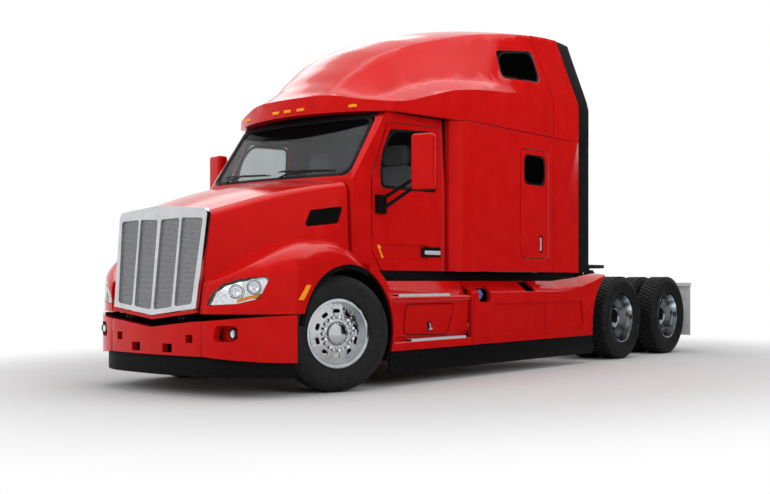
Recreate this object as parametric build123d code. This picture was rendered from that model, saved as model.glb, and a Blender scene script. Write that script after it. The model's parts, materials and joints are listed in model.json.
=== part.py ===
from build123d import *
from math import cos, hypot, radians, sin, sqrt
import os

os.makedirs("parts", exist_ok=True)

# Highway tractor with a raised-roof sleeper. Millimetres, +X forward, +Y to the driver's side, +Z up.
# The origin is on the ground, at the middle of the overall length and width.

# Wheels and axles
tyre_diameter = 1020
tyre_width = 285
tread_width = 215
bead_diameter = 576
rim_width = 208
flange_thickness = 12
flange_height = 14
rim_wall = 12
front_overhang = 1200
wheelbase = 5790
tandem_spacing = 1320
rear_overhang = 1440
kingpin_spread = 1860
kingpin_radius = 24
kingpin_offset = 110
steer_at_rest = 20
dual_outer_face = 1215
dual_spacing = 335
front_spindle_radius = 42
drive_spindle_radius = 58
running_gap = 0.1
stud_circle = 285.75
stud_count = 10
hand_hole_count = 10

# Ladder frame
rail_spread = 864
rail_height = 270
rail_flange = 90
rail_web = 10
rail_top = 1010
rail_front = 1000
crossmember_size = 110

# Cab and sleeper
cab_floor = 1062
cab_belt = 1890
cab_roof = 2560
cab_wall = 55
cab_back = -1600
boot_gap = 20
sleeper_front = cab_back - boot_gap
sleeper_back = -3450
sleeper_half_width = 1200
sleeper_front_half = 1085
sleeper_corner = 260
sleeper_wall = 50
extender_back = -4010
extender_edge = 250
panel_gap = 8
glass_thickness = 10
glass_inset = 12
seal_gap = 3

# Hood, fenders and bumper
hood_wall = 30
fender_half_width = 1205
arch_radius = 600
arch_rim = 72
liner_thickness = 15
bumper_wall = 60
bumper_bottom = 343
bumper_centre_half = 600
dam_bottom = 170
hinge_x = 1150
hinge_z = 655
hinge_pin_radius = 8
hinge_lug_radius = 14
hinge_lug_width = 40
hinge_y = 350

# Side fairings and steps
fairing_half_width = 1200
fairing_wall = 40
fairing_bottom = 325
fairing_top = 965
fairing_shelf = 846
fairing_split = -1845
fairing_arch = 700
fairing_arch_x = 80
fairing_arch_z = -60
fairing_lip = 32
skirt_bottom = 115
skirt_thickness = 20
fender_split = -266

# Fifth wheel
kingpin_bore = 25.6
plate_top = 1180
plate_thickness = 45
plate_length = 880
plate_width = 920
fifth_wheel_ahead = 0

# Places worked out from the sizes above
overall_length = front_overhang + wheelbase + rear_overhang
front_axle_x = overall_length / 2 - front_overhang
axle_height = tyre_diameter / 2
drive_axles = [-(wheelbase - tandem_spacing / 2), -(wheelbase + tandem_spacing / 2)]
frame_tail = -(wheelbase + rear_overhang) + 60
rail_outer = rail_spread / 2
rail_bottom = rail_top - rail_height
bead_radius = bead_diameter / 2
kingpin_y = kingpin_spread / 2
dual_centre = dual_outer_face - tyre_width / 2 - dual_spacing / 2


def ahead(x):
    return front_axle_x + x


def profile(points, place, radius):
    placed = [place(*p) for p in points]
    if radius:
        return make_face(FilletPolyline(*placed, radius=radius, close=True))
    return make_face(Polyline(*placed, close=True))


def side_prism(points, y0, y1, radius=0):
    # points are (x ahead of the front axle, z)
    face = profile(points, lambda x, z: (ahead(x), y0, z), radius)
    return extrude(face, amount=y1 - y0, dir=(0, 1, 0))


def front_prism(points, x0, x1, radius=0):
    # points are (y, z)
    face = profile(points, lambda y, z: (ahead(x0), y, z), radius)
    return extrude(face, amount=x1 - x0, dir=(1, 0, 0))


def plan_prism(points, z0, z1, radius=0):
    # points are (x ahead of the front axle, y)
    face = profile(points, lambda x, y: (ahead(x), y, z0), radius)
    return extrude(face, amount=z1 - z0, dir=(0, 0, 1))


def block(x0, x1, y0, y1, z0, z1):
    centre = Pos(ahead((x0 + x1) / 2), (y0 + y1) / 2, (z0 + z1) / 2)
    return centre * Box(abs(x1 - x0), abs(y1 - y0), abs(z1 - z0))


def rod_y(x, z, radius, y0, y1):
    return Pos(ahead(x), (y0 + y1) / 2, z) * Rot(90, 0, 0) * Cylinder(radius, abs(y1 - y0))


def rod_z(x, y, radius, z0, z1):
    return Pos(ahead(x), y, (z0 + z1) / 2) * Cylinder(radius, abs(z1 - z0))


def rod_x(x0, x1, y, z, radius):
    return Pos(ahead((x0 + x1) / 2), y, z) * Rot(0, 90, 0) * Cylinder(radius, abs(x1 - x0))


def mirrored(shape):
    return mirror(shape, about=Plane.XZ)


def both_sides(left):
    return Compound(children=[*left.solids(), *mirrored(left).solids()])


def on_side(left, side):
    return left if side == "left" else mirrored(left)


def save(name, shape):
    export_step(shape, f"parts/{name}.step")


# Wheels, drawn about their own centre with the axle along Y and the outer face towards +Y


def turned(points):
    # points are (y along the axle, radius)
    return revolve(make_face(Polyline(*[(0, y, r) for y, r in points], close=True)), axis=Axis.Y)


def tyre():
    outer = tyre_diameter / 2
    bead = rim_width / 2 - 1
    height = outer - bead_radius
    half = [
        # y, radius from the bead out to the crown
        (bead, bead_radius),
        (bead, bead_radius + flange_height + 2),
        (tyre_width / 2 - 8, bead_radius + height * 0.3),
        (tyre_width / 2, bead_radius + height * 0.5),
        (tyre_width / 2 - 6, bead_radius + height * 0.72),
        (tread_width / 2 + 10, outer - 26),
        (tread_width / 2 - 6, outer - 6),
        (tread_width / 4, outer),
    ]
    return turned(half + [(-y, r) for y, r in reversed(half)])


def barrel_points(centre):
    half = rim_width / 2
    lip = half + flange_thickness
    top = bead_radius + flange_height
    return [
        (centre + lip, top),
        (centre + half, top),
        (centre + half, bead_radius),
        (centre - half, bead_radius),
        (centre - half, top),
        (centre - lip, top),
    ]


def around(shape, count, offset=0):
    return [Rot(0, offset + i * 360 / count, 0) * shape for i in range(count)]


def hand_holes(radius, length, width):
    slot = Plane.XZ * Pos(0, radius, 0) * SlotOverall(length, width)
    return around(extrude(slot, amount=tyre_width, both=True), hand_hole_count)


def lug_nuts(seat, height):
    nut = Pos(0, seat + height / 2, stud_circle / 2) * Rot(90, 0, 0) * Cylinder(17, height)
    return around(nut, stud_count, 180 / stud_count)


def front_rim():
    inner = bead_radius - rim_wall
    lip = rim_width / 2 + flange_thickness
    disc_front, disc_back = 84, 66
    hub_back, hub_radius, hub_cap = -10, 104, 122
    bore = front_spindle_radius + running_gap
    points = barrel_points(0) + [
        (-lip, inner),
        (disc_back - 34, inner),
        (disc_back, inner - 70),
        (disc_back, hub_radius),
        (hub_back, hub_radius),
        (hub_back, bore),
        (disc_back - 10, bore),
        (disc_back - 10, 0),
        (hub_cap, 0),
        (hub_cap, 62),
        (hub_cap - 16, 92),
        (disc_front, hub_radius),
        (disc_front, inner - 78),
        (disc_front - 26, inner),
        (lip, inner),
    ]
    rim = turned(points)
    rim -= hand_holes((inner - 78 + stud_circle / 2 + 20) / 2 + 16, 62, 34)
    return rim + lug_nuts(disc_front, 34)


def drive_rim():
    inner = bead_radius - rim_wall
    half = dual_spacing / 2
    lip = rim_width / 2 + flange_thickness
    disc = 12
    hub_radius, hub_cap, hub_back = 118, 205, -150
    bore = drive_spindle_radius + running_gap
    barrel_end = half - lip
    points = barrel_points(half) + [
        (barrel_end, inner - 30),
        (disc, inner - 45),
        (-disc, inner - 45),
        (-barrel_end, inner - 30),
    ]
    points += barrel_points(-half) + [
        (-half - lip, inner),
        (-barrel_end - 20, inner),
        (-barrel_end, inner - 45),
        (-disc, inner - 62),
        (-disc, hub_radius + 34),
        (hub_back, hub_radius + 34),
        (hub_back, bore),
        (hub_cap - 60, bore),
        (hub_cap - 60, 0),
        (hub_cap, 0),
        (hub_cap, 78),
        (hub_cap - 26, hub_radius),
        (disc, hub_radius),
        (disc, inner - 62),
        (barrel_end, inner - 45),
        (barrel_end + 20, inner),
        (half + lip, inner),
    ]
    rim = turned(points)
    rim -= hand_holes((inner - 62 + stud_circle / 2 + 20) / 2 + 4, 60, 32)
    return rim + lug_nuts(disc, 46)


def steered(shape, side):
    pivot = Pos(front_axle_x, side * kingpin_y, 0)
    return pivot * Rot(0, 0, -steer_at_rest) * shape.moved(Location((-front_axle_x, -side * kingpin_y, 0)))


def at_front_wheel(shape, side):
    outward = shape if side > 0 else Rot(0, 0, 180) * shape
    return steered(Pos(front_axle_x, side * (kingpin_y + kingpin_offset), axle_height) * outward, side)


def at_drive_wheel(shape, axle, side):
    outward = shape if side > 0 else Rot(0, 0, 180) * shape
    return Pos(ahead(axle), side * dual_centre, axle_height) * outward


def build_wheels():
    one_tyre, steer_rim, twin_rim = tyre(), front_rim(), drive_rim()
    twin_tyres = Compound(
        children=[Pos(0, s * dual_spacing / 2, 0) * one_tyre for s in (1, -1)]
    )
    for name, side in (("left", 1), ("right", -1)):
        save(f"front_tyre_{name}", at_front_wheel(one_tyre, side))
        save(f"front_rim_{name}", at_front_wheel(steer_rim, side))
        for number, axle in enumerate(drive_axles, 1):
            save(f"drive_tyres_{number}_{name}", at_drive_wheel(twin_tyres, axle, side))
            save(f"drive_rims_{number}_{name}", at_drive_wheel(twin_rim, axle, side))


# Front axle, knuckles, drive axles and springs

axle_boss_radius = 52
axle_boss_half = 62
ear_gap = 2
ear_thickness = 34
spring_y = rail_outer - rail_flange / 2
spring_width = 90
spring_thickness = 55
spring_half_length = 720
spring_camber = 70
beam_drop = 85
beam_height = 110
beam_depth = 95
spring_pad = axle_height - beam_drop + beam_height / 2


def front_axle():
    inner = spring_y + 130
    low = axle_height - beam_drop - beam_height / 2
    high = low + beam_height
    end = kingpin_y
    points = [
        (-end, axle_height - 45),
        (-inner, low),
        (inner, low),
        (end, axle_height - 45),
        (end, axle_height + 45),
        (inner, high),
        (-inner, high),
        (-end, axle_height + 45),
    ]
    beam = front_prism(points, -beam_depth / 2, beam_depth / 2)
    pocket_points = [
        (-inner + 40, low + 22),
        (inner - 40, low + 22),
        (inner - 40, high - 22),
        (-inner + 40, high - 22),
    ]
    pocket = front_prism(pocket_points, beam_depth / 2 - 30, beam_depth)
    beam -= [pocket, mirror(pocket, about=Plane.YZ.offset(front_axle_x))]
    for side in (1, -1):
        y = side * kingpin_y
        beam += rod_z(0, y, axle_boss_radius, axle_height - axle_boss_half, axle_height + axle_boss_half)
    for side in (1, -1):
        y = side * kingpin_y
        sweep_room = axle_boss_radius + 40
        ring = rod_z(0, y, sweep_room, axle_height - 200, axle_height + 200)
        ring -= rod_z(0, y, axle_boss_radius, axle_height - 200, axle_height + 200)
        outside = block(-200, 200, y, y + side * 200, axle_height - 200, axle_height + 200)
        beam -= ring & outside
        beam -= rod_z(0, y, kingpin_radius + running_gap, axle_height - 200, axle_height + 200)
    return beam


def knuckle():
    y = kingpin_y
    ear_low = axle_boss_half + ear_gap
    ear_high = ear_low + ear_thickness
    web_start = axle_boss_radius + 12
    web_end = web_start + 30
    spindle_end = kingpin_offset + 66 - 10 - 4
    shape = rod_z(0, y, kingpin_radius, axle_height - ear_high, axle_height + ear_high)
    for z0, z1 in ((ear_low, ear_high), (-ear_high, -ear_low)):
        shape += rod_z(0, y, axle_boss_radius, axle_height + z0, axle_height + z1)
        low, high = axle_height + z0, axle_height + z1
        shape += block(-axle_boss_radius, axle_boss_radius, y, y + web_end, low, high)
    shape += block(
        -axle_boss_radius, axle_boss_radius, y + web_start, y + web_end,
        axle_height - ear_high, axle_height + ear_high,
    )
    return shape + rod_y(0, axle_height, front_spindle_radius, y + web_start, y + spindle_end)


def drive_axle(axle):
    tube = rod_y(axle, axle_height, 72, -(dual_centre - 170), dual_centre - 170)
    reach = dual_centre + 205 - 60 - 6
    spindle = rod_y(axle, axle_height, drive_spindle_radius, -reach, reach)
    bowl = Pos(ahead(axle), 0, axle_height) * Sphere(215)
    nose = rod_x(axle, axle + 330, 0, axle_height + 30, 95)
    return tube + spindle + bowl + nose


def propeller_shaft(x0, x1, z):
    return rod_x(x0, x1, 0, z, 55)


def build_running_gear():
    save("front_axle", front_axle())
    for name, side in (("left", 1), ("right", -1)):
        save(f"knuckle_{name}", steered(on_side(knuckle(), name), side))
    first, second = drive_axles
    shaft_z = axle_height + 30
    line = drive_axle(first) + drive_axle(second)
    line += propeller_shaft(second + 330, first, shaft_z)
    line += propeller_shaft(first + 330, gearbox_back, shaft_z)
    save("drive_axles", line)
    save("springs", springs())


def leaf_pack():
    tip = spring_pad + spring_thickness + spring_camber
    top = [
        ThreePointArc(
            (ahead(-spring_half_length), 0, tip),
            (ahead(0), 0, spring_pad),
            (ahead(spring_half_length), 0, tip),
        ),
        Line((ahead(spring_half_length), 0, tip), (ahead(spring_half_length), 0, tip + spring_thickness)),
        ThreePointArc(
            (ahead(spring_half_length), 0, tip + spring_thickness),
            (ahead(0), 0, spring_pad + spring_thickness),
            (ahead(-spring_half_length), 0, tip + spring_thickness),
        ),
        Line((ahead(-spring_half_length), 0, tip + spring_thickness), (ahead(-spring_half_length), 0, tip)),
    ]
    pack = extrude(make_face(top), amount=spring_width / 2, dir=(0, 1, 0), both=True)
    for x in (-spring_half_length + 45, spring_half_length - 45):
        pack += block(x - 45, x + 45, -spring_width / 2, spring_width / 2, tip + 12, rail_bottom)
    return Pos(0, spring_y, 0) * pack


def trailing_arm(axle):
    hanger, tail = axle + 520, axle - 470
    arm_bottom, arm_top = axle_height - 72 - 95, axle_height - 72
    arm = block(tail, hanger, -38, 38, arm_bottom, arm_top)
    arm += block(hanger - 60, hanger, -45, 45, arm_bottom, rail_bottom)
    bag = rod_z(tail + 90, 0, 115, arm_top, rail_bottom)
    seat = block(axle - 75, axle + 75, -38, 38, arm_top, axle_height)
    seat -= rod_y(axle, axle_height, 72, -100, 100)
    return Pos(0, spring_y, 0) * (arm + bag + seat)


def springs():
    left = leaf_pack()
    solids = [*left.solids(), *mirrored(left).solids()]
    for axle in drive_axles:
        arm = trailing_arm(axle)
        solids += [*arm.solids(), *mirrored(arm).solids()]
    return Compound(children=solids)


# Frame with cab mounts, hood hinge brackets and tail crossmember

bumper_stay = 560
cab_mounts = [-420, -1450]
sleeper_mounts = [-1760, -3300]
crossmembers = [930, -2300, -3700, -4500, -5790, -7020]
engine_front, engine_back = 560, -225
gearbox_back = -1750


def rail():
    y = rail_outer
    inner = y - rail_flange
    points = [
        (y, rail_bottom),
        (y, rail_top),
        (inner, rail_top),
        (inner, rail_top - rail_web),
        (y - rail_web, rail_top - rail_web),
        (y - rail_web, rail_bottom + rail_web),
        (inner, rail_bottom + rail_web),
        (inner, rail_bottom),
    ]
    return front_prism(points, frame_tail, rail_front)


def hinge_bracket():
    fork = hinge_lug_width / 2 + 1
    cheek = 14
    arm_half = fork + cheek
    front_face = crossmembers[0] + crossmember_size / 2
    arm_tip = hinge_x - hinge_lug_radius - 8
    arm = block(front_face - 20, arm_tip, -arm_half, arm_half, hinge_z - 12, hinge_z + 6)
    arm += block(front_face - 20, front_face, -arm_half, arm_half, hinge_z - 12, rail_bottom + 60)
    for y0, y1 in ((fork, arm_half), (-arm_half, -fork)):
        arm += block(hinge_x - hinge_lug_radius - 22, hinge_x, y0, y1, hinge_z - 12, hinge_z + 6)
        arm += rod_y(hinge_x, hinge_z, hinge_pin_radius + 4, y0, y1)
    arm += rod_y(hinge_x, hinge_z, hinge_pin_radius, -arm_half, arm_half)
    return Pos(0, hinge_y, 0) * arm


def frame():
    left = rail()
    for x in cab_mounts:
        left += block(x - 60, x + 60, rail_outer - rail_flange, rail_outer, rail_top, cab_floor)
    for x in sleeper_mounts:
        left += block(x - 60, x + 60, rail_outer - rail_flange, rail_outer, rail_top, cab_floor)
    left += hinge_bracket()
    stay_inner = rail_outer - rail_flange
    left += block(rail_front - 70, rail_front, stay_inner, rail_outer, bumper_stay - 40, rail_bottom)
    whole = left + mirrored(left)
    half = crossmember_size / 2
    web = rail_outer - rail_web
    for x in crossmembers:
        whole += block(x - half, x + half, -web, web, rail_bottom + 30, rail_bottom + 30 + crossmember_size)
    return whole


def engine():
    width, sump, head = 300, 640, 1500
    body = block(engine_back, engine_front, -width, width, sump, head)
    gearbox = block(gearbox_back, engine_back, -230, 230, 450, 960)
    for x in (engine_front - 200, engine_back + 120):
        body += block(x - 60, x + 60, -rail_outer + 8, rail_outer - 8, rail_top, rail_top + 60)
    return body + gearbox


def radiator():
    half, bottom, top = 430, 760, 1480
    thickness, front = 110, 760
    core = block(front - thickness, front, -half, half, bottom, top)
    for z0, z1 in ((bottom - 50, bottom), (top, top + 50)):
        core += block(front - thickness - 20, front + 20, -half, half, z0, z1)
    back, inner = front - thickness - 30, rail_outer - rail_flange - 6
    core -= block(back, front + 30, inner, half + 1, bottom - 60, rail_top)
    core -= block(back, front + 30, -half - 1, -inner, bottom - 60, rail_top)
    for y in (1, -1):
        core += block(front - thickness, front, y * 300, y * (rail_outer - 8), rail_top, rail_top + 30)
    return core


# Cab: plan sections lofted straight up, with a bowed front for the windscreen

cab_sections = [
    # z, corner x, nose x, half width at the back, half width at the front
    (cab_floor, -292, -262, 1050, 985),
    (cab_belt, -300, -215, 1050, 972),
    (cab_roof, -800, -640, 985, 900),
]


def cab_solid(inset, back=0):
    faces = []
    for z, corner, nose, half_back, half_front in cab_sections:
        b, c = half_back - inset, half_front - inset
        x0, x1, x2 = ahead(cab_back + back), ahead(corner - inset), ahead(nose - inset)
        edges = [
            Line((x0, b, z), (x1, c, z)),
            ThreePointArc((x1, c, z), (x2, 0, z), (x1, -c, z)),
            Line((x1, -c, z), (x0, -b, z)),
            Line((x0, -b, z), (x0, b, z)),
        ]
        faces.append(make_face(edges))
    return loft(faces, ruled=True)


door_front, door_back = -540, -1568
door_bottom, door_top = cab_floor - 6, 2490
hinge_barrel = 7
door_outline = [
    (door_front, 1240),
    (-668, door_bottom),
    (door_back, door_bottom),
    (door_back, door_top),
    (-800, door_top - 30),
    (door_front, 1940),
]
door_scoop = [(-640, 1312), (-1370, 1312), (-1330, 1172), (-700, 1172)]
scoop_depth = 14
door_window = [(-600, 1830), (-1475, 1830), (-1470, 2435), (-800, 2400), (-610, 2010)]
door_hinge_x = door_front - panel_gap - 4
door_hinge_y = 992
door_corner = 40
windscreen_outline = [(-840, 1925), (840, 1925), (775, 2520), (-775, 2520)]


def shrunk(points, gap):
    xs = [p[0] for p in points]
    zs = [p[1] for p in points]
    cx, cz = (min(xs) + max(xs)) / 2, (min(zs) + max(zs)) / 2
    wide, tall = (max(xs) - min(xs)) / 2, (max(zs) - min(zs)) / 2
    return [(cx + (x - cx) * (1 - gap / wide), cz + (z - cz) * (1 - gap / tall)) for x, z in points]


def through_side(points, gap, radius):
    return side_prism(shrunk(points, gap), 600, 1400, radius)


def windscreen_prism(gap):
    return front_prism(shrunk(windscreen_outline, gap), -1050, -100, 60)


def cab_skin(outside, inside):
    return cab_solid(outside) - cab_solid(inside)


def cab_shell():
    inner = cab_solid(cab_wall, back=-1)
    inner &= block(cab_back - 10, 0, -1200, 1200, cab_floor + 60, cab_roof - 45)
    shell = cab_solid(0) - inner - windscreen_prism(0)
    opening = cab_skin(-1, cab_wall + 6) & through_side(door_outline, 0, door_corner)
    return shell - [opening, mirrored(opening)]


def hinge_barrels(x, y, places):
    barrel = [rod_z(x, y, hinge_barrel, z - 45, z + 45) for z in places]
    return barrel[0] + barrel[1:]


def door(side):
    leaf = cab_skin(0, cab_wall - panel_gap) & through_side(door_outline, panel_gap, door_corner)
    leaf -= through_side(door_window, 0, 50)
    leaf -= cab_skin(-1, scoop_depth) & through_side(door_scoop, 0, 40)
    leaf += hinge_barrels(door_hinge_x, door_hinge_y, (1330, 1560))
    leaf -= handle_pocket(door_handle_x, door_handle_z, 1000)
    return on_side(leaf + door_handle(), side)


door_handle_x, door_handle_z = -1395, 1262
handle_length, handle_height = 150, 62


def handle_pocket(x, z, y):
    half, tall = handle_length / 2, handle_height / 2
    points = [(x - half, z - tall), (x + half, z - tall), (x + half, z + tall), (x - half, z + tall)]
    return side_prism(points, y + 12, 1400, 22)


def door_handle():
    bar = block(
        door_handle_x - handle_length / 2 - 4, door_handle_x + handle_length / 2 + 4,
        1008, 1036, door_handle_z - 11, door_handle_z + 11,
    )
    return bar


def door_glass(side):
    pane = cab_skin(glass_inset, glass_inset + glass_thickness) & through_side(door_window, seal_gap, 48)
    return on_side(pane, side)


def windscreen():
    return cab_skin(glass_inset, glass_inset + glass_thickness) & windscreen_prism(seal_gap)


# Mirror: a tall head on two arms from a pad at the door's front corner

mirror_width, mirror_height, mirror_depth = 250, 520, 130
mirror_x, mirror_y, mirror_z = -800, 1395, 2060
mirror_yaw = 10


def mirror_head():
    head = Box(mirror_depth, mirror_width, mirror_height)
    head = fillet(head.edges().filter_by(Axis.Z), 45)
    head = fillet(head.edges().filter_by(Axis.Z, reverse=True).group_by(Axis.Z)[-1], 30)
    place = Pos(ahead(mirror_x), mirror_y, mirror_z) * Rot(0, 0, mirror_yaw)
    return place * head


def strut(start, end, radius):
    a, b = Vector(*start), Vector(*end)
    path = b - a
    return Plane(origin=a, z_dir=path) * Pos(0, 0, path.length / 2) * Cylinder(radius, path.length)


def rear_view_mirror(side):
    pad_x, pad_z = -655, 1675
    pad_y = 1030
    pad = block(pad_x - 62, pad_x + 62, 985, pad_y, pad_z - 85, pad_z + 85)
    pad -= cab_solid(0)
    root = (ahead(pad_x), pad_y - 14)
    tip = (ahead(mirror_x + 10), mirror_y - mirror_width / 2 + 25)
    arms = strut((*root, pad_z + 45), (*tip, mirror_z - mirror_height / 2 + 110), 17)
    arms += strut((*root, pad_z - 50), (*tip, mirror_z - mirror_height / 2 + 30), 17)
    arms -= cab_solid(0)
    return on_side(pad + arms + mirror_head(), side)


# Sleeper box, its roof cap and the side extenders


def sleeper_solid(inset, front=0, z0=0, z1=0):
    half, front_half = sleeper_half_width - inset, sleeper_front_half - inset
    x0, x1 = ahead(sleeper_back + inset), ahead(sleeper_front + front)
    bend = ahead(sleeper_front - sleeper_corner)
    mid = (ahead(sleeper_front - sleeper_corner * 0.42), half - (half - front_half) * 0.28)
    edges = [
        Line((x0, -half, 0), (x0, half, 0)),
        Line((x0, half, 0), (bend, half, 0)),
        ThreePointArc((bend, half, 0), (*mid, 0), (ahead(sleeper_front), front_half, 0)),
    ]
    ends = [
        ThreePointArc((ahead(sleeper_front), -front_half, 0), (mid[0], -mid[1], 0), (bend, -half, 0)),
        Line((bend, -half, 0), (x0, -half, 0)),
    ]
    if front:
        edges.append(Line((ahead(sleeper_front), front_half, 0), (x1, front_half, 0)))
        ends.insert(0, Line((x1, -front_half, 0), (ahead(sleeper_front), -front_half, 0)))
    edges.append(Line((x1, front_half, 0), (x1, -front_half, 0)))
    return Pos(0, 0, z0) * extrude(make_face(edges + ends), amount=z1 - z0, dir=(0, 0, 1))


hatch_outline = [(-2755, 1205), (-3340, 1205), (-3340, 2395), (-2755, 2395)]
hatch_window = [(-2830, 2005), (-3272, 2005), (-3272, 2335), (-2830, 2335)]
hatch_corner = 85
hatch_hinge_x = hatch_outline[0][0] - panel_gap - 4
hatch_hinge_y = sleeper_half_width
roof_window = [(-2520, 3085), (-3215, 3140), (-3150, 3490), (-2570, 3400)]


def sleeper_shell():
    shell = sleeper_solid(0, z0=cab_floor, z1=cab_roof)
    shell -= sleeper_solid(sleeper_wall, front=60, z0=cab_floor + 60, z1=cab_roof + 1)
    opening = through_side(hatch_outline, 0, hatch_corner)
    return shell - [opening, mirrored(opening)]


def sleeper_skin(outside, inside):
    z0, z1 = cab_floor, cab_roof
    return sleeper_solid(outside, z0=z0, z1=z1) - sleeper_solid(inside, front=60, z0=z0, z1=z1)


def sleeper_door(side):
    leaf = sleeper_skin(0, sleeper_wall) & through_side(hatch_outline, panel_gap, hatch_corner - panel_gap)
    leaf -= through_side(hatch_window, 0, 80)
    leaf -= handle_slot()
    leaf += hinge_barrels(hatch_hinge_x, hatch_hinge_y, (1400, 2200))
    return on_side(leaf, side)


def handle_slot():
    half, tall = 30, 95
    x, z = -3180, 1370
    points = [(x - half, z - tall), (x + half, z - tall), (x + half, z + tall), (x - half, z + tall)]
    return side_prism(points, sleeper_half_width - 22, 1400, 28)


def sleeper_door_glass(side):
    pane = sleeper_skin(glass_inset, glass_inset + glass_thickness)
    return on_side(pane & through_side(hatch_window, seal_gap, 78), side)


roof_sections = [
    # x, lower half width, ledge z, dome half width, dome z, shoulder half width, shoulder z, crown z
    (-390, 1000, 2590, 760, 2638, 400, 2656, 2692),
    (-640, 1022, 2628, 690, 2720, 400, 2860, 2900),
    (-900, 1050, 2680, 720, 2790, 470, 3050, 3125),
    (-1250, 1105, 2750, 800, 2880, 560, 3225, 3320),
    (-1700, 1172, 2835, 930, 2960, 690, 3375, 3490),
    (-2300, 1200, 2900, 1095, 3012, 870, 3530, 3655),
    (-2850, 1200, 2950, 1180, 3050, 1000, 3630, 3765),
    (-3450, 1200, 3000, 1190, 3060, 1070, 3700, 3830),
    (-3875, 1200, 3000, 1190, 3060, 1072, 3710, 3840),
    (-4300, 1200, 3000, 1190, 3060, 1072, 3710, 3840),
]
roof_seam = [(-3446, cab_roof), (-3436, 2930), (-3165, 3700), (-3080, 3940)]
extender_line = [(extender_back, cab_floor), (extender_back, 2982), (-3700, 3745), (-3650, 3870)]


def roof_section(row, inset):
    x, low, ledge, dome, dome_z, shoulder, shoulder_z, crown = row
    x = ahead(x)
    a = (x, low - inset, cab_roof)
    b = (x, low - inset, ledge - inset * 0.3)
    c = (x, dome - inset, dome_z - inset * 0.3)
    d = (x, shoulder - inset, shoulder_z - inset * 0.7)
    flip = [(p[0], -p[1], p[2]) for p in (a, b, c, d)]
    edges = [
        Line(a, b),
        Line(b, c),
        Line(c, d),
        ThreePointArc(d, (x, 0, crown - inset), flip[3]),
        Line(flip[3], flip[2]),
        Line(flip[2], flip[1]),
        Line(flip[1], flip[0]),
        Line(flip[0], a),
    ]
    return make_face(edges)


def roof_solid(inset):
    return loft([roof_section(row, inset) for row in roof_sections])


def brow_prism(inset):
    edges = [
        ThreePointArc(
            (ahead(-886 - inset), 1150, cab_roof - 5),
            (ahead(-455 - inset), 0, cab_roof - 5),
            (ahead(-886 - inset), -1150, cab_roof - 5),
        ),
        Line((ahead(-886 - inset), -1150, cab_roof - 5), (ahead(-4400), -1300, cab_roof - 5)),
        Line((ahead(-4400), -1300, cab_roof - 5), (ahead(-4400), 1300, cab_roof - 5)),
        Line((ahead(-4400), 1300, cab_roof - 5), (ahead(-886 - inset), 1150, cab_roof - 5)),
    ]
    return extrude(make_face(edges), amount=1500, dir=(0, 0, 1))


def before_line(line, shift, y=1300):
    points = [(x + shift, z) for x, z in line]
    points = [(points[0][0], points[0][1] - 50)] + points
    points += [(points[-1][0], 4100), (200, 4100), (200, points[0][1])]
    return side_prism(points, -y, y)


def roof_cap(skin=45):
    outer = roof_solid(0) & brow_prism(0)
    inner = roof_solid(skin) & brow_prism(skin * 3)
    shell = (outer - inner) & before_line(roof_seam, 0)
    back_wall = (outer & before_line(roof_seam, 0)) - before_line(roof_seam, skin)
    shell += back_wall
    window = through_side(roof_window, 0, 60)
    return shell - [window, mirrored(window)]


def roof_windows():
    pane = (roof_solid(glass_inset) - roof_solid(glass_inset + glass_thickness))
    return both_sides(pane & through_side(roof_window, seal_gap, 58))


def rear_strip(outer_inset, inner_inset, front_line, back_line):
    upper = roof_solid(outer_inset) - roof_solid(inner_inset)
    y_out, y_in = sleeper_half_width - outer_inset, sleeper_half_width - inner_inset
    lower = block(-4400, -3000, y_in, y_out, cab_floor, cab_roof)
    strip = upper & block(-4400, -3000, 900, 1300, cab_roof, 4000)
    strip = (strip + lower) & before_line(back_line, 0)
    return strip - before_line(front_line, 0)


lower_seam = [(sleeper_back - panel_gap, cab_floor), (sleeper_back - panel_gap, cab_roof)]
extender_seam = lower_seam + [(x - panel_gap, z) for x, z in roof_seam[1:]]
edge_line = [
    (extender_back - extender_edge, cab_floor + 20),
    (extender_back - extender_edge, 2960),
    (-3965, 3790),
    (-3930, 3890),
]


def side_extenders():
    return both_sides(rear_strip(0, 40, extender_seam, extender_line))


def extender_edges():
    return both_sides(rear_strip(6, 32, extender_line, edge_line))


# Interior that shows through the glass


def dashboard():
    points = [(-470, 1500), (-470, 1850), (-560, 1880), (-760, 1830), (-800, 1700), (-640, 1500)]
    board = side_prism(points, -880, 880)
    column = strut((ahead(-700), 520, 1700), (ahead(-838), 520, 1816), 28)
    floor_leg = block(-640, -480, -120, 120, cab_floor + 60, 1500)
    return board + column + floor_leg


wheel_tilt = 40
steering_hub = (-872, 520, 1845)


def steering_wheel():
    corners = [radians(22.5 + 45 * i) for i in range(8)]
    ring = make_face(Polyline(*[(220 + 17 * cos(a), 0, 17 * sin(a)) for a in corners], close=True))
    rim = revolve(ring, axis=Axis.Z)
    hub = Cylinder(60, 40)
    spokes = [Rot(0, 0, a) * Pos(125, 0, 0) * Box(190, 40, 14) for a in (0, 120, 240)]
    x, y, z = steering_hub
    return Pos(ahead(x), y, z) * Rot(0, -(90 - wheel_tilt), 0) * (rim + hub + spokes)


def seat():
    base = block(-1400, -1010, 300, 740, cab_floor + 60, 1420)
    cushion = fillet(block(-1430, -930, 270, 770, 1420, 1560).edges().filter_by(Axis.Z), 60)
    back_points = [(-1300, 1560), (-1430, 1560), (-1545, 2120), (-1440, 2140)]
    back = side_prism(back_points, 280, 760)
    head_points = [(-1450, 2140), (-1540, 2125), (-1575, 2330), (-1490, 2340)]
    head = side_prism(head_points, 400, 640)
    return base + cushion + back + head


# Hood centre and fenders

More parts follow.
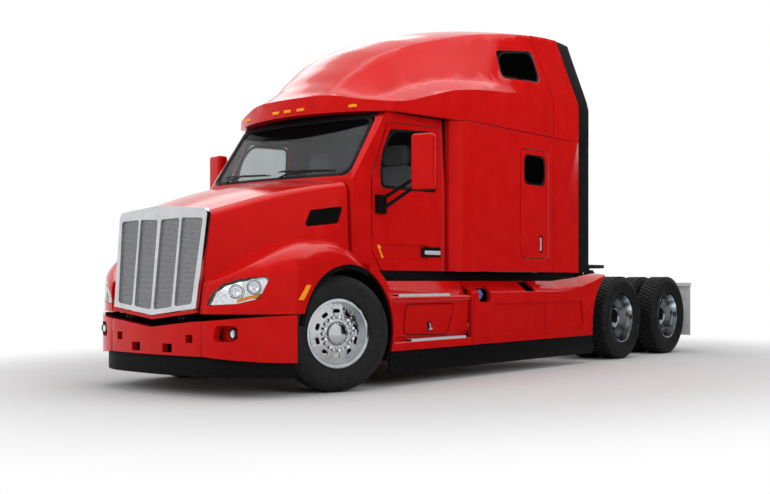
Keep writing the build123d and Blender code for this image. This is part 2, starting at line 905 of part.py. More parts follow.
hood_sections = [
    # x, half width at the foot, half width at the shoulder, shoulder z, crown z
    (1150, 518, 562, 1507, 1576),
    (860, 690, 634, 1590, 1664),
    (520, 830, 712, 1690, 1768),
    (60, 935, 846, 1800, 1872),
    (-420, 1000, 978, 1888, 1948),
]
hood_foot = 700
hood_vent = [(115, 1590), (-218, 1640), (-160, 1482), (188, 1440)]


def hood_section(row, inset, foot):
    x, w_foot, w_top, shoulder, crown = row
    x = ahead(x)
    f, w = w_foot - inset, w_top - inset
    s = shoulder - inset
    a, b = (x, f, foot), (x, w, s - 80)
    m, c = (x, w - 22, s - 22), (x, w - 90, s + 14)
    flip = lambda p: (p[0], -p[1], p[2])
    edges = [
        Line(a, b),
        ThreePointArc(b, m, c),
        ThreePointArc(c, (x, 0, crown - inset), flip(c)),
        ThreePointArc(flip(c), flip(m), flip(b)),
        Line(flip(b), flip(a)),
        Line(flip(a), a),
    ]
    return make_face(edges)


def hood_centre(inset, foot=hood_foot, reach=0):
    rows = [list(row) for row in hood_sections]
    rows[0][0] += reach
    return loft([hood_section(row, inset, foot) for row in rows])


fender_foot = 694
fender_inner = 470
fender_low = axle_height - 190
fender_sections = [
    # x, half width, top z, width and height of the round-over
    (-300, 1205, 1100, 200, 90),
    (-75, 1205, 1285, 280, 160),
    (160, 1205, 1346, 300, 200),
    (430, 1205, 1316, 300, 195),
    (680, 1196, 1222, 280, 160),
    (880, 1075, 1112, 220, 120),
    (1030, 880, 1012, 150, 90),
    (1140, 590, 930, 70, 60),
]


def fender_section(row, inset):
    x, half, top, a, b = row
    x = ahead(x - inset)
    w, z, low = half - inset, top - inset, fender_foot - 90
    edges = [
        Line((x, fender_inner, low), (x, w, low)),
        Line((x, w, low), (x, w, z - b)),
        ThreePointArc((x, w, z - b), (x, w - 0.293 * a, z - 0.293 * b), (x, w - a, z)),
        Line((x, w - a, z), (x, fender_inner, z)),
        Line((x, fender_inner, z), (x, fender_inner, low)),
    ]
    return make_face(edges)


def fender_solid(inset, arch):
    body = loft([fender_section(row, inset) for row in fender_sections])
    body &= block(fender_split, 1300, 300, 1400, 0, 2000)
    body -= rod_y(0, axle_height, arch, 300, 1400)
    return body - block(-300, 1300, 300, 1400, 0, fender_foot)


lamp_facing = 38
lamp_outline = [
    (-205, 762), (-150, 862), (-57, 940), (70, 980),
    (192, 996), (338, 998), (252, 822), (60, 776),
]


def lamp_prism(gap):
    facing = Vector(cos(radians(lamp_facing)), sin(radians(lamp_facing)), 0)
    across = Vector(-sin(radians(lamp_facing)), cos(radians(lamp_facing)), 0)
    plane = Plane(origin=(front_axle_x, 0, 0), x_dir=across, z_dir=facing)
    points = shrunk(lamp_outline, gap)
    face = plane * make_face(FilletPolyline(*[(s, z) for s, z in points], radius=16, close=True))
    return extrude(face, amount=1700)


def hood_back_prism():
    x0, x1, y = ahead(fender_split), ahead(fender_split + 78), 1000
    edges = [
        ThreePointArc((x0, y, 250), (x1, 0, 250), (x0, -y, 250)),
        Line((x0, -y, 250), (x0, -1300, 250)),
        Line((x0, -1300, 250), (ahead(1400), -1300, 250)),
        Line((ahead(1400), -1300, 250), (ahead(1400), 1300, 250)),
        Line((ahead(1400), 1300, 250), (x0, 1300, 250)),
        Line((x0, 1300, 250), (x0, y, 250)),
    ]
    return extrude(make_face(edges), amount=2000, dir=(0, 0, 1))


def hood():
    well = rod_y(0, axle_height, arch_radius + 5, 470, 1300)
    inner = hood_centre(hood_wall, foot=hood_foot - 400, reach=300)
    shell = hood_centre(0) - [well, mirrored(well)] - inner
    fender = fender_solid(0, arch_radius) - inner
    room = block(fender_split + hood_wall, 1300, 300, 1300, 720, 1500)
    fender -= fender_solid(hood_wall, arch_radius + hood_wall) & room
    shell += [fender, mirrored(fender)]
    vent = side_prism(hood_vent, 600, 1200, 24)
    for cut in (lamp_prism(0), vent):
        shell -= [cut, mirrored(cut)]
    shell -= grille_slab(-500, 500 + grille_depth)
    return shell & hood_back_prism()


def headlamps():
    lens = (fender_solid(2, arch_radius) - fender_solid(hood_wall - 4, arch_radius)) & lamp_prism(seal_gap)
    return both_sides(lens)


def liner_ring():
    ring = rod_y(0, axle_height, arch_radius, 700, 1190)
    ring -= rod_y(0, axle_height, arch_radius - liner_thickness, 690, 1200)
    return ring - block(300, 700, 600, 1300, 0, fender_foot)


def arch_liners():
    return both_sides(liner_ring() & block(fender_split, 700, 600, 1300, 600, 1400))


def rear_liner():
    return liner_ring() & block(-700, fender_split - panel_gap, 600, 1300, fender_low - 80, 1400)


# Grille: a leaning bowed slab cut to its frame, with a mesh sheet set into it

grille_outline = [
    (0, 674), (525, 738), (588, 1525), (560, 1572), (0, 1616), (-560, 1572), (-588, 1525), (-525, 738),
]
bar_half = 16
grille_depth = 45


def grille_slab(set_back, depth):
    faces = []
    # z, centre x, x at the sides
    for z, centre, side in ((640, 1195, 1178), (1650, 1092, 1066)):
        c, s, y = centre - set_back, side - set_back, 640
        edges = [
            ThreePointArc((ahead(s), y, z), (ahead(c), 0, z), (ahead(s), -y, z)),
            Line((ahead(s), -y, z), (ahead(s - depth), -y, z)),
            ThreePointArc((ahead(s - depth), -y, z), (ahead(c - depth), 0, z), (ahead(s - depth), y, z)),
            Line((ahead(s - depth), y, z), (ahead(s), y, z)),
        ]
        faces.append(make_face(edges))
    return loft(faces, ruled=True)


grille_bays = [
    # inner y, outer y at the foot, outer y at the top, foot z inner, foot z outer, top z inner, top z outer
    (bar_half, 250, 262, 722, 748, 1490, 1500),
    (282, 492, 545, 752, 776, 1500, 1490),
]


def grille_surround():
    slab = grille_slab(0, grille_depth) & front_prism(grille_outline, 900, 1300)
    for inner, foot_outer, top_outer, fi, fo, ti, to in grille_bays:
        bay = [(inner, fi), (foot_outer, fo), (top_outer, to), (inner + 6, ti)]
        cut = front_prism(bay, 900, 1300, 24)
        slab -= [cut, mirrored(cut)]
    for y in (hinge_y, -hinge_y):
        y0, y1 = y - hinge_lug_width / 2, y + hinge_lug_width / 2
        lug = rod_y(hinge_x, hinge_z, hinge_lug_radius, y0, y1)
        lug += block(hinge_x - 11, hinge_x + 11, y0, y1, hinge_z, hinge_z + 85)
        slab += lug - rod_y(hinge_x, hinge_z, hinge_pin_radius + running_gap, y0 - 5, y1 + 5)
    return slab


def meshes():
    sheets = []
    for inner, foot_outer, top_outer, fi, fo, ti, to in grille_bays:
        bay = [(inner, fi), (foot_outer, fo), (top_outer, to), (inner + 6, ti)]
        cut = front_prism(shrunk(bay, 1), 900, 1300, 22)
        sheet = grille_slab(24, 10) & cut
        sheets += [*sheet.solids(), *mirrored(sheet).solids()]
    vent = side_prism(shrunk(hood_vent, 1), 600, 1200, 23)
    screen = (hood_centre(12) - hood_centre(22)) & vent
    sheets += [*screen.solids(), *mirrored(screen).solids()]
    return Compound(children=sheets)


# Bumper, air dam and black skirts


def bumper_plan(inset, z0, z1, extra=0):
    c, s = 1200 - inset, 1155 - inset
    seam, half = bumper_centre_half, fairing_half_width + 5 - inset * 0.7
    corner = 650 - extra
    bend, wide = ahead(985 - inset), 975 - inset * 0.6
    edges = [
        ThreePointArc((ahead(s), seam, z0), (ahead(c), 0, z0), (ahead(s), -seam, z0)),
        ThreePointArc((ahead(s), -seam, z0), (bend, -wide, z0), (ahead(corner), -half, z0)),
        Line((ahead(corner), -half, z0), (ahead(corner), half, z0)),
        ThreePointArc((ahead(corner), half, z0), (bend, wide, z0), (ahead(s), seam, z0)),
    ]
    return extrude(make_face(edges), amount=z1 - z0, dir=(0, 0, 1))


def bumper():
    wall = bumper_plan(0, bumper_bottom, 720) - bumper_plan(bumper_wall, bumper_bottom - 10, 730, extra=20)
    top = [
        (-1300, 700), (-1205, 686), (-620, 634), (-500, 628), (0, 606), (500, 628), (620, 634), (1205, 686),
        (1300, 700), (1300, 800), (-1300, 800),
    ]
    wall -= front_prism(top, 400, 1300)
    for y in (1, -1):
        wall -= block(1000, 1300, y * 430, y * 492, 500, 568)
        wall -= block(1000, 1300, y * 158, y * 252, 412, 486)
    seam = block(1145, 1300, bumper_centre_half - 3, bumper_centre_half + 3, 200, 800)
    fog = front_prism([(705, 470), (905, 470), (905, 600), (735, 600)], 800, 1300, 34)
    for cut in (seam, fog):
        wall -= [cut, mirrored(cut)]
    stay_arm = block(rail_front, 1135, 395, 430, bumper_stay - 40, bumper_stay + 30)
    return wall + [stay_arm, mirrored(stay_arm)]


def black_skirts():
    dam = bumper_plan(45, dam_bottom, bumper_bottom)
    dam -= bumper_plan(85, dam_bottom - 5, bumper_bottom + 5, extra=20)
    y = fairing_half_width - 10
    side = block(-560, -4385, y - skirt_thickness, y, skirt_bottom, fairing_bottom)
    side -= [rear_arch(900, 1300), rod_y(0, axle_height, arch_radius + 20, 900, 1300)]
    upper = block(-560, -4300, 1000, 1016, stay_top, cab_floor - 12)
    upper -= rod_y(0, axle_height, arch_radius + arch_rim + 40, 900, 1300)
    solids = [*dam.solids()]
    for piece in (side, upper, rear_liner()):
        solids += [*piece.solids(), *mirrored(piece).solids()]
    return Compound(children=solids)


stay_top = 850
step_outside = [
    # y, z from the top of the wall down to its foot
    (1058, fairing_top),
    (1122, 826),
    (1190, 826),
    (1200, 808),
    (1192, 782),
    (1166, 760),
    (1150, 462),
    (1128, 425),
    (1128, 405),
    (1190, 405),
    (1200, 390),
    (1200, fairing_bottom),
]
step_inside = [
    # y, z from the foot back up
    (1160, fairing_bottom),
    (1160, 370),
    (1088, 380),
    (1110, 450),
    (1126, 745),
    (1150, 784),
    (1082, 794),
    (1022, 930),
]
toolbox_door = [(-812, 468), (-838, 742), (-1612, 742), (-1486, 462)]


def stay(x, reach):
    return block(x - 30, x + 30, rail_outer, reach, stay_top - 50, stay_top)


def fender_extension():
    ring = rod_y(0, axle_height, arch_radius + fairing_lip, 1008, fender_half_width)
    ring &= block(-700, fender_split - panel_gap, 900, 1300, fairing_bottom, 1400)
    crest = rod_y(0, axle_height, arch_radius + arch_rim, 1008, fender_half_width)
    crest &= block(-540, fender_split - panel_gap, 900, 1300, 880, 1400)
    return ring + crest - rod_y(0, axle_height, arch_radius, 900, 1300)


def step_fairing():
    wall = front_prism(step_outside + step_inside, fairing_split + panel_gap / 2, -440)
    wall -= rod_y(0, axle_height, arch_radius + fairing_lip / 2, 800, 1400)
    groove = side_prism(toolbox_door, 1000, 1300, 40) - side_prism(shrunk(toolbox_door, 7), 990, 1310, 34)
    wall -= groove & front_prism([(1146, 440), (1160, 770), (1200, 770), (1200, 440)], -1900, -700)
    return wall + fender_extension() + stay(-1000, 1105) + stay(-1700, 1105)


tank_section = [(1058, fairing_top), (1184, 862), (1200, fairing_shelf), (1200, 420), (1192, fairing_bottom)]
sweep_rows = [
    # x, z of the shelf's outer edge, z of its inner edge
    (-3650, 846, 965),
    (-4105, 905, 1000),
    (-4400, 968, 1034),
    (-4700, 1044, 1056),
]
recess_outline = [(-2215, 733), (-4090, 733), (-4135, 425), (-2560, 425)]
recess_depth = 20
filler_places = [
    # front x, back x, bottom z, top z, inner y
    (-1985, -2190, 750, 912, 1110),
    (-2880, -3100, 850, 975, 1030),
]


def rear_arch(y0, y1):
    return rod_y(drive_axles[0] + fairing_arch_x, axle_height + fairing_arch_z, fairing_arch, y0, y1)


def rear_sweep():
    faces = []
    for x, outer, inner in sweep_rows:
        x = ahead(x)
        points = [(x, 1200, 800), (x, 1200, outer), (x, 1058, inner), (x, 1018, inner), (x, 1160, 800)]
        faces.append(make_face(Polyline(*points, close=True)))
    return loft(faces, ruled=True)


def tank_fairing():
    inside = [(y - fairing_wall, z) for y, z in reversed(tank_section)]
    wall = front_prism(tank_section + inside, -4700, fairing_split - panel_gap / 2)
    wall += rear_sweep()
    wall -= rear_arch(800, 1400)
    wall -= side_prism(recess_outline, 1200 - recess_depth, 1300, 40)
    for front, back, low, high, y in filler_places:
        wall -= side_prism([(front, low), (back, low), (back, high), (front, high)], y, 1300, 40)
    return wall + stay(-1900, 1175) + stay(-4080, 1175)


def side_fairings():
    solids = []
    for piece in (step_fairing(), tank_fairing()):
        solids += [*piece.solids(), *mirrored(piece).solids()]
    return Compound(children=solids)


def step_treads():
    upper = block(-690, -1490, 1130, 1188, 826, 838)
    lower = block(-880, -1760, 1136, 1188, 405, 417)
    solids = []
    for piece in (upper, lower):
        solids += [*piece.solids(), *mirrored(piece).solids()]
    return Compound(children=solids)


tank_radius = 280
tank_front, tank_back = -1960, -4010


def fuel_tanks():
    y, z = rail_outer + 30 + tank_radius, 690
    tank = rod_x(tank_back, tank_front, y, z, tank_radius)
    for x in (tank_front - 250, (tank_front + tank_back) / 2, tank_back + 250):
        tank += block(x - 40, x + 40, rail_outer, y, z + 40, z + 120)
    return both_sides(tank)


# Lamps, mud flaps and the fifth wheel

marker_places = [
    # y, x of the brow there, z
    (0, -455, 2612),
    (165, -463, 2612),
    (700, -601, 2612),
]


def lamps():
    solids = []
    brow = roof_solid(0) & brow_prism(0)
    for y, x, z in marker_places:
        lamp = block(x - 40, x + 14, y - 45, y + 45, z - 14, z + 14) - brow
        solids += lamp.solids()
        if y:
            solids += mirrored(lamp).solids()
    fog = rod_x(990, 1040, 850, 535, 45)
    tail = block(frame_tail - 60, frame_tail, 240, 420, 800, 900)
    for piece in (fog, tail):
        solids += [*piece.solids(), *mirrored(piece).solids()]
    return Compound(children=solids)


flap_x = -7130


def mud_flaps():
    hanger = block(flap_x - 25, flap_x + 25, rail_outer, 1210, 890, 940)
    flap = block(flap_x - 7, flap_x + 7, 610, 1205, 215, 890)
    return both_sides(hanger + flap)


fifth_wheel_x = -wheelbase + fifth_wheel_ahead
pivot_z = plate_top - 100
pivot_radius = 30


def fifth_wheel_base():
    solids = None
    for side in (1, -1):
        y0, y1 = side * 300, side * (rail_outer + 20)
        foot = block(fifth_wheel_x - 300, fifth_wheel_x + 300, y0, y1, rail_top, rail_top + 15)
        cheek_points = [
            (fifth_wheel_x - 150, rail_top + 15), (fifth_wheel_x + 150, rail_top + 15),
            (fifth_wheel_x + 45, pivot_z + 30), (fifth_wheel_x - 45, pivot_z + 30),
        ]
        cheek = side_prism(cheek_points, side * 360, side * 400)
        pin = rod_y(fifth_wheel_x, pivot_z, pivot_radius, side * 300, side * 400)
        part = foot + cheek + pin
        solids = part if solids is None else solids + part
    cross = block(fifth_wheel_x - 40, fifth_wheel_x + 40, -300, 300, rail_top, rail_top + 15)
    return solids + cross


def fifth_wheel_plate():
    half_w, half_l = plate_width / 2, plate_length / 2
    points = [
        (fifth_wheel_x + half_l, -half_w * 0.55), (fifth_wheel_x + half_l, half_w * 0.55),
        (fifth_wheel_x + half_l * 0.45, half_w), (fifth_wheel_x - half_l * 0.55, half_w),
        (fifth_wheel_x - half_l, half_w * 0.62), (fifth_wheel_x - half_l, half_w * 0.38),
        (fifth_wheel_x - 90, 60), (fifth_wheel_x - 90, -60),
        (fifth_wheel_x - half_l, -half_w * 0.38), (fifth_wheel_x - half_l, -half_w * 0.62),
        (fifth_wheel_x - half_l * 0.55, -half_w), (fifth_wheel_x + half_l * 0.45, -half_w),
    ]
    plate = plan_prism(points, plate_top - plate_thickness, plate_top)
    plate -= rod_z(fifth_wheel_x, 0, kingpin_bore, plate_top - 200, plate_top + 10)
    for side in (1, -1):
        y0, y1 = side * 305, side * 350
        ear = block(fifth_wheel_x - 45, fifth_wheel_x + 45, y0, y1, pivot_z, plate_top - plate_thickness)
        ear += rod_y(fifth_wheel_x, pivot_z, 45, y0, y1)
        plate += ear - rod_y(fifth_wheel_x, pivot_z, pivot_radius + running_gap, y0 - side * 5, y1 + side * 5)
    return plate


build_wheels()
build_running_gear()
save("frame", frame())
save("engine", engine())
save("radiator", radiator())
save("fuel_tanks", fuel_tanks())
save("cab_shell", cab_shell())
save("windscreen", windscreen())
save("sleeper_shell", sleeper_shell())
save("roof_cap", roof_cap())
save("roof_windows", roof_windows())
save("side_extenders", side_extenders())
save("extender_edges", extender_edges())
save("dashboard", dashboard())
save("steering_wheel", steering_wheel())
save("seats", both_sides(seat()))
for side in ("left", "right"):
    save(f"door_{side}", door(side))
    save(f"door_glass_{side}", door_glass(side))
    save(f"mirror_{side}", rear_view_mirror(side))
    save(f"sleeper_door_{side}", sleeper_door(side))
    save(f"sleeper_door_glass_{side}", sleeper_door_glass(side))
save("hood", hood())
save("headlamps", headlamps())
save("arch_liners", arch_liners())
save("grille_surround", grille_surround())
save("grille_mesh", meshes())
save("bumper", bumper())
save("black_skirts", black_skirts())
save("side_fairings", side_fairings())
save("step_treads", step_treads())
save("lamps", lamps())
save("mud_flaps", mud_flaps())
save("fifth_wheel_base", fifth_wheel_base())
save("fifth_wheel_plate", fifth_wheel_plate())
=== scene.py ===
import json
import math

import bmesh
import bpy
from mathutils import Matrix, Vector
from mathutils.bvhtree import BVHTree


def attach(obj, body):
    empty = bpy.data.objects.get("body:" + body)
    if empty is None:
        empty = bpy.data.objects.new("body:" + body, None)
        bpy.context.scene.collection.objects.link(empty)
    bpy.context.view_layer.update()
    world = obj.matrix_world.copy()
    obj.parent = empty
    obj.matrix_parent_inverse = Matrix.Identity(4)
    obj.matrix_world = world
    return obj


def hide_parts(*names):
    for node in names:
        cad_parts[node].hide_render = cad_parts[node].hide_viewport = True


# Lengths are metres. Places are x ahead of the front axle, y from the middle and z above the ground.
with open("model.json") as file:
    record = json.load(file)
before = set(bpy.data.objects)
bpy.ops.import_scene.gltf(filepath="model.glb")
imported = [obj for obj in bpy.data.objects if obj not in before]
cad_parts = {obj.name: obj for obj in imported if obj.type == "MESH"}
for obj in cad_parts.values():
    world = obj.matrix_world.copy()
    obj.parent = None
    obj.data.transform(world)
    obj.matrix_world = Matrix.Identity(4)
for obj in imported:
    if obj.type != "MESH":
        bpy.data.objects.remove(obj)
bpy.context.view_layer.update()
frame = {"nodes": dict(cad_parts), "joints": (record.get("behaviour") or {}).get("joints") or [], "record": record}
nodes = frame["nodes"]
bodies = frame["record"]["behaviour"]["bodies"]
bodyOf = {node: body for body, members in bodies.items() for node in members}
jointOf = {j["child"]: j for j in frame["joints"]}
frontAxleX = jointOf["left_knuckle"]["pos_m"][0]
signOf = {"left": 1, "right": -1}
bothSides = tuple(signOf.values())
scene = bpy.context.scene
print("frame loaded:", len(nodes), "nodes")


def ahead(x):
    return frontAxleX + x


# Materials

grain = {"toneDetail": 4, "bumpDetail": 2, "bumpDepth": 0.001}


def wire(tree, node, sockets):
    # a socket takes a value, or the output of another node
    for socket, source in sockets.items():
        if hasattr(source, "is_output"):
            tree.links.new(source, node.inputs[socket])
        else:
            node.inputs[socket].default_value = source


def addNode(tree, kind, sockets=None, **settings):
    made = tree.nodes.new(kind)
    for key, value in settings.items():
        setattr(made, key, value)
    wire(tree, made, sockets or {})
    return made


def nodeMaterial(name):
    mat = bpy.data.materials.new(name)
    mat.use_nodes = True
    return mat, mat.node_tree, mat.node_tree.nodes["Principled BSDF"]


def noiseOn(tree, scale, detail, stretch=(1, 1, 1)):
    coord = addNode(tree, "ShaderNodeTexCoord")
    mapping = addNode(tree, "ShaderNodeMapping", {"Vector": coord.outputs["Object"], "Scale": stretch})
    noise = addNode(tree, "ShaderNodeTexNoise", {
        "Vector": mapping.outputs["Vector"], "Scale": scale, "Detail": detail})
    return noise.outputs["Fac"]


def ramp(tree, source, low, high, start=0.35, end=0.65):
    node = addNode(tree, "ShaderNodeValToRGB", {"Fac": source})
    for stop, position, shade in zip(node.color_ramp.elements, (start, end), (low, high)):
        stop.position = position
        stop.color = (*shade, 1)
    return node.outputs["Color"]


def surface(name, low, high, rough, scale, metal=0.0, bump=None, stretch=(1, 1, 1), **sockets):
    # a colour that wanders between two shades, a roughness range and a fine bump
    mat, tree, shader = nodeMaterial(name)
    tone = noiseOn(tree, scale, grain["toneDetail"], stretch)
    spread = addNode(tree, "ShaderNodeMapRange", {"Value": tone, "To Min": rough[0], "To Max": rough[1]})
    wire(tree, shader, {
        "Base Color": ramp(tree, tone, low, high), "Roughness": spread.outputs["Result"], "Metallic": metal})
    if bump:
        strength, bumpScale = bump
        fine = noiseOn(tree, bumpScale, grain["bumpDetail"], stretch)
        raised = addNode(tree, "ShaderNodeBump", {
            "Height": fine, "Strength": strength, "Distance": grain["bumpDepth"]})
        wire(tree, shader, {"Normal": raised.outputs["Normal"]})
    wire(tree, shader, {socket.replace("_", " "): value for socket, value in sockets.items()})
    mat.diffuse_color = (*high, 1)
    return mat


surfaces = {
    # bump is its strength and its scale
    "redPaint": dict(low=(0.50, 0.0050, 0.0045), high=(0.545, 0.0065, 0.006), rough=(0.13, 0.19), scale=6,
                     bump=(0.015, 350), Specular_IOR_Level=0.4, Specular_Tint=(1.0, 0.10, 0.09, 1),
                     Coat_Weight=0.03, Coat_Roughness=0.04),
    "blackPlastic": dict(low=(0.003, 0.003, 0.0035), high=(0.006, 0.006, 0.007), rough=(0.45, 0.62), scale=30,
                         bump=(0.15, 900), Specular_IOR_Level=0.06),
    "blackTrim": dict(low=(0.004, 0.004, 0.005), high=(0.008, 0.008, 0.009), rough=(0.28, 0.4), scale=20,
                      bump=(0.06, 700), Specular_IOR_Level=0.25),
    "softRubber": dict(low=(0.005, 0.005, 0.006), high=(0.011, 0.011, 0.012), rough=(0.6, 0.8), scale=18,
                       bump=(0.12, 500), Specular_IOR_Level=0.15),
    "tyreRubber": dict(low=(0.008, 0.008, 0.009), high=(0.016, 0.016, 0.017), rough=(0.55, 0.75), scale=22,
                       bump=(0.14, 420), Specular_IOR_Level=0.2),
    "polishedAluminium": dict(low=(0.46, 0.48, 0.50), high=(0.54, 0.56, 0.58), rough=(0.12, 0.18), scale=12,
                              metal=1.0),
    "chromePlate": dict(low=(0.74, 0.75, 0.77), high=(0.79, 0.80, 0.82), rough=(0.06, 0.10), scale=9,
                        metal=1.0),
    "grilleChrome": dict(low=(0.56, 0.57, 0.59), high=(0.62, 0.63, 0.65), rough=(0.06, 0.12), scale=9,
                         metal=1.0),
    "meshSteel": dict(low=(0.26, 0.26, 0.27), high=(0.40, 0.40, 0.41), rough=(0.28, 0.42), scale=90,
                      metal=0.9),
    "lampChrome": dict(low=(0.60, 0.62, 0.65), high=(0.84, 0.85, 0.87), rough=(0.08, 0.22), scale=45,
                       metal=1.0, bump=(0.25, 90)),
    "mirrorFace": dict(low=(0.70, 0.71, 0.73), high=(0.78, 0.79, 0.80), rough=(0.02, 0.04), scale=10,
                       metal=1.0),
    "blueCap": dict(low=(0.03, 0.16, 0.46), high=(0.05, 0.22, 0.58), rough=(0.35, 0.5), scale=40,
                    bump=(0.1, 600)),
    "cabLining": dict(low=(0.15, 0.15, 0.155), high=(0.19, 0.19, 0.195), rough=(0.6, 0.8), scale=30,
                      bump=(0.15, 700)),
    # near-black: painted shade on the sheets behind the grille and the bumper, the dark panel joints, and the dark
    # card
    "darkVoid": dict(low=(0.002, 0.002, 0.002), high=(0.005, 0.005, 0.005), rough=(0.7, 0.9), scale=30,
                     Specular_IOR_Level=0.05),
    "chassisPaint": dict(low=(0.005, 0.005, 0.006), high=(0.012, 0.012, 0.013), rough=(0.35, 0.55), scale=14,
                         bump=(0.1, 260), Specular_IOR_Level=0.25),
    "castSteel": dict(low=(0.05, 0.05, 0.05), high=(0.12, 0.12, 0.12), rough=(0.35, 0.6), scale=24,
                      metal=0.85, bump=(0.25, 200)),
    "amberLens": dict(low=(0.80, 0.26, 0.006), high=(0.92, 0.36, 0.01), rough=(0.2, 0.3), scale=80,
                      Specular_IOR_Level=0.25),
    "satinTrim": dict(low=(0.60, 0.62, 0.65), high=(0.70, 0.72, 0.75), rough=(0.28, 0.40), scale=30,
                      metal=0.3),
    "redLens": dict(low=(0.35, 0.004, 0.004), high=(0.5, 0.008, 0.008), rough=(0.08, 0.18), scale=80,
                    Coat_Weight=0.6),
    "greyTrim": dict(low=(0.10, 0.10, 0.11), high=(0.15, 0.15, 0.16), rough=(0.5, 0.7), scale=25,
                     bump=(0.12, 800)),
    "seatCloth": dict(low=(0.15, 0.15, 0.16), high=(0.23, 0.23, 0.24), rough=(0.8, 0.95), scale=160,
                      bump=(0.3, 1400), Sheen_Weight=0.3),
    "flapGrey": dict(low=(0.50, 0.505, 0.51), high=(0.58, 0.585, 0.59), rough=(0.6, 0.8), scale=16,
                     bump=(0.1, 300)),
    "radiatorCore": dict(low=(0.03, 0.03, 0.03), high=(0.07, 0.07, 0.07), rough=(0.4, 0.6), scale=40,
                         metal=0.6, bump=(0.3, 200), stretch=(1, 12, 1)),
}
finishes = {name: surface(name, **look) for name, look in surfaces.items()}

glassTone = {"scale": 3, "detail": 2, "darker": 0.96}


def glassMaterial(name, tint, rough=0.0, ior=1.45):
    mat, tree, shader = nodeMaterial(name)
    tone = noiseOn(tree, glassTone["scale"], glassTone["detail"])
    darker = tuple(glassTone["darker"] * part for part in tint)
    wire(tree, shader, {
        "Base Color": ramp(tree, tone, darker, tint), "Roughness": rough, "IOR": ior,
        "Transmission Weight": 1.0})
    return mat


# The windscreen's top band: a black sun visor behind the glass, with painted shadow and painted reflection of the
# brow on it.
# Its lower edge in the middle, how fast that rises towards the sides with the square of the distance, half the
# width of its soft line, the band's colour, and a haze for the clear glass
visorShadowBand = {"edge": 2.345, "bow": 0.125, "soft": 0.0004, "shade": (0.003, 0.003, 0.0035, 1), "haze": 0.05}


def bandedGlass(name, tint, ior):
    # clear below the band and black above it, a visor with painted shadow and reflection of the brow
    mat = glassMaterial(name, tint, ior=ior)
    tree = mat.node_tree
    shader = tree.nodes["Principled BSDF"]
    coord = addNode(tree, "ShaderNodeTexCoord")
    split = addNode(tree, "ShaderNodeSeparateXYZ", {0: coord.outputs["Object"]})
    aside = split.outputs["Y"]
    square = addNode(tree, "ShaderNodeMath", {0: aside, 1: aside}, operation="MULTIPLY")
    height = addNode(tree, "ShaderNodeMath", {
        0: square.outputs[0], 1: -visorShadowBand["bow"], 2: split.outputs["Z"]}, operation="MULTIPLY_ADD")
    clear = addNode(tree, "ShaderNodeMapRange", {
        "Value": height.outputs[0],
        "From Min": visorShadowBand["edge"] - visorShadowBand["soft"], "From Max": visorShadowBand["edge"] + visorShadowBand["soft"],
        "To Min": 1.0 - visorShadowBand["haze"], "To Max": 0.0}).outputs["Result"]
    tinted = shader.inputs["Base Color"].links[0].from_socket
    mix = addNode(tree, "ShaderNodeMix", {
        "Factor": clear, "A": visorShadowBand["shade"], "B": tinted}, data_type="RGBA")
    wire(tree, shader, {"Transmission Weight": clear, "Base Color": mix.outputs["Result"]})
    return mat


finishes["tintedGlass"] = glassMaterial("tintedGlass", (0.55, 0.57, 0.58), ior=1.05)
finishes["bandedGlass"] = bandedGlass("bandedGlass", (0.70, 0.72, 0.73), ior=1.05)
finishes["darkGlass"] = glassMaterial("darkGlass", (0.08, 0.08, 0.09), ior=1.1)
finishes["clearLens"] = glassMaterial("clearLens", (0.97, 0.98, 0.98))
finishes["projectorGlass"] = glassMaterial("projectorGlass", (0.90, 0.92, 0.94), rough=0.03)
print("finishes made:", len(finishes))

# CAD pieces, each copied, merged, eased at its edges and given its finish

dressed = {
    # node: finish, width of the eased edge
    "cab_shell": ("redPaint", 0.004),
    "sleeper_shell": ("redPaint", 0.004),
    "roof_cap": ("redPaint", 0.006),
    "side_extenders": ("redPaint", 0.004),
    "hood": ("redPaint", 0.005),
    "bumper": ("redPaint", 0.006),
    "side_fairings": ("redPaint", 0.004),
    "door_left": ("redPaint", 0.004),
    "door_right": ("redPaint", 0.004),
    "mirror_left": ("redPaint", 0.0),
    "mirror_right": ("redPaint", 0.0),
    "sleeper_door_left": ("redPaint", 0.004),
    "sleeper_door_right": ("redPaint", 0.004),
    "windscreen": ("bandedGlass", 0.0),
    "roof_windows": ("darkGlass", 0.0),
    "door_glass_left": ("tintedGlass", 0.0),
    "door_glass_right": ("tintedGlass", 0.0),
    "sleeper_door_glass_left": ("darkGlass", 0.0),
    "sleeper_door_glass_right": ("darkGlass", 0.0),
    "extender_edges": ("softRubber", 0.003),
    "grille_surround": ("grilleChrome", 0.004),
    # the grille's sheet is near-black, painted shade behind the wires
    "grille_mesh": ("darkVoid", 0.0),
    "headlamps": ("clearLens", 0.0),
    "arch_liners": ("blackPlastic", 0.0),
    "black_skirts": ("blackPlastic", 0.003),
    "step_treads": ("blackTrim", 0.001),
    "lamps": ("amberLens", 0.002),
    "mud_flaps": ("flapGrey", 0.002),
    "frame": ("chassisPaint", 0.002),
    "engine": ("castSteel", 0.006),
    "radiator": ("radiatorCore", 0.003),
    "fuel_tanks": ("polishedAluminium", 0.003),
    "front_axle": ("chassisPaint", 0.003),
    "springs": ("chassisPaint", 0.002),
    "drive_axles": ("chassisPaint", 0.003),
    "knuckle_left": ("castSteel", 0.002),
    "knuckle_right": ("castSteel", 0.002),
    "fifth_wheel_base": ("castSteel", 0.003),
    "fifth_wheel_plate": ("castSteel", 0.004),
    "dashboard": ("greyTrim", 0.008),
    "steering_wheel": ("blackPlastic", 0.002),
}
for side in signOf:
    dressed[f"front_rim_{side}"] = ("polishedAluminium", 0.002)
    for axle in (1, 2):
        dressed[f"drive_rims_{axle}_{side}"] = ("polishedAluminium", 0.002)


def linked(name, data):
    obj = bpy.data.objects.new(name, data)
    scene.collection.objects.link(obj)
    return obj


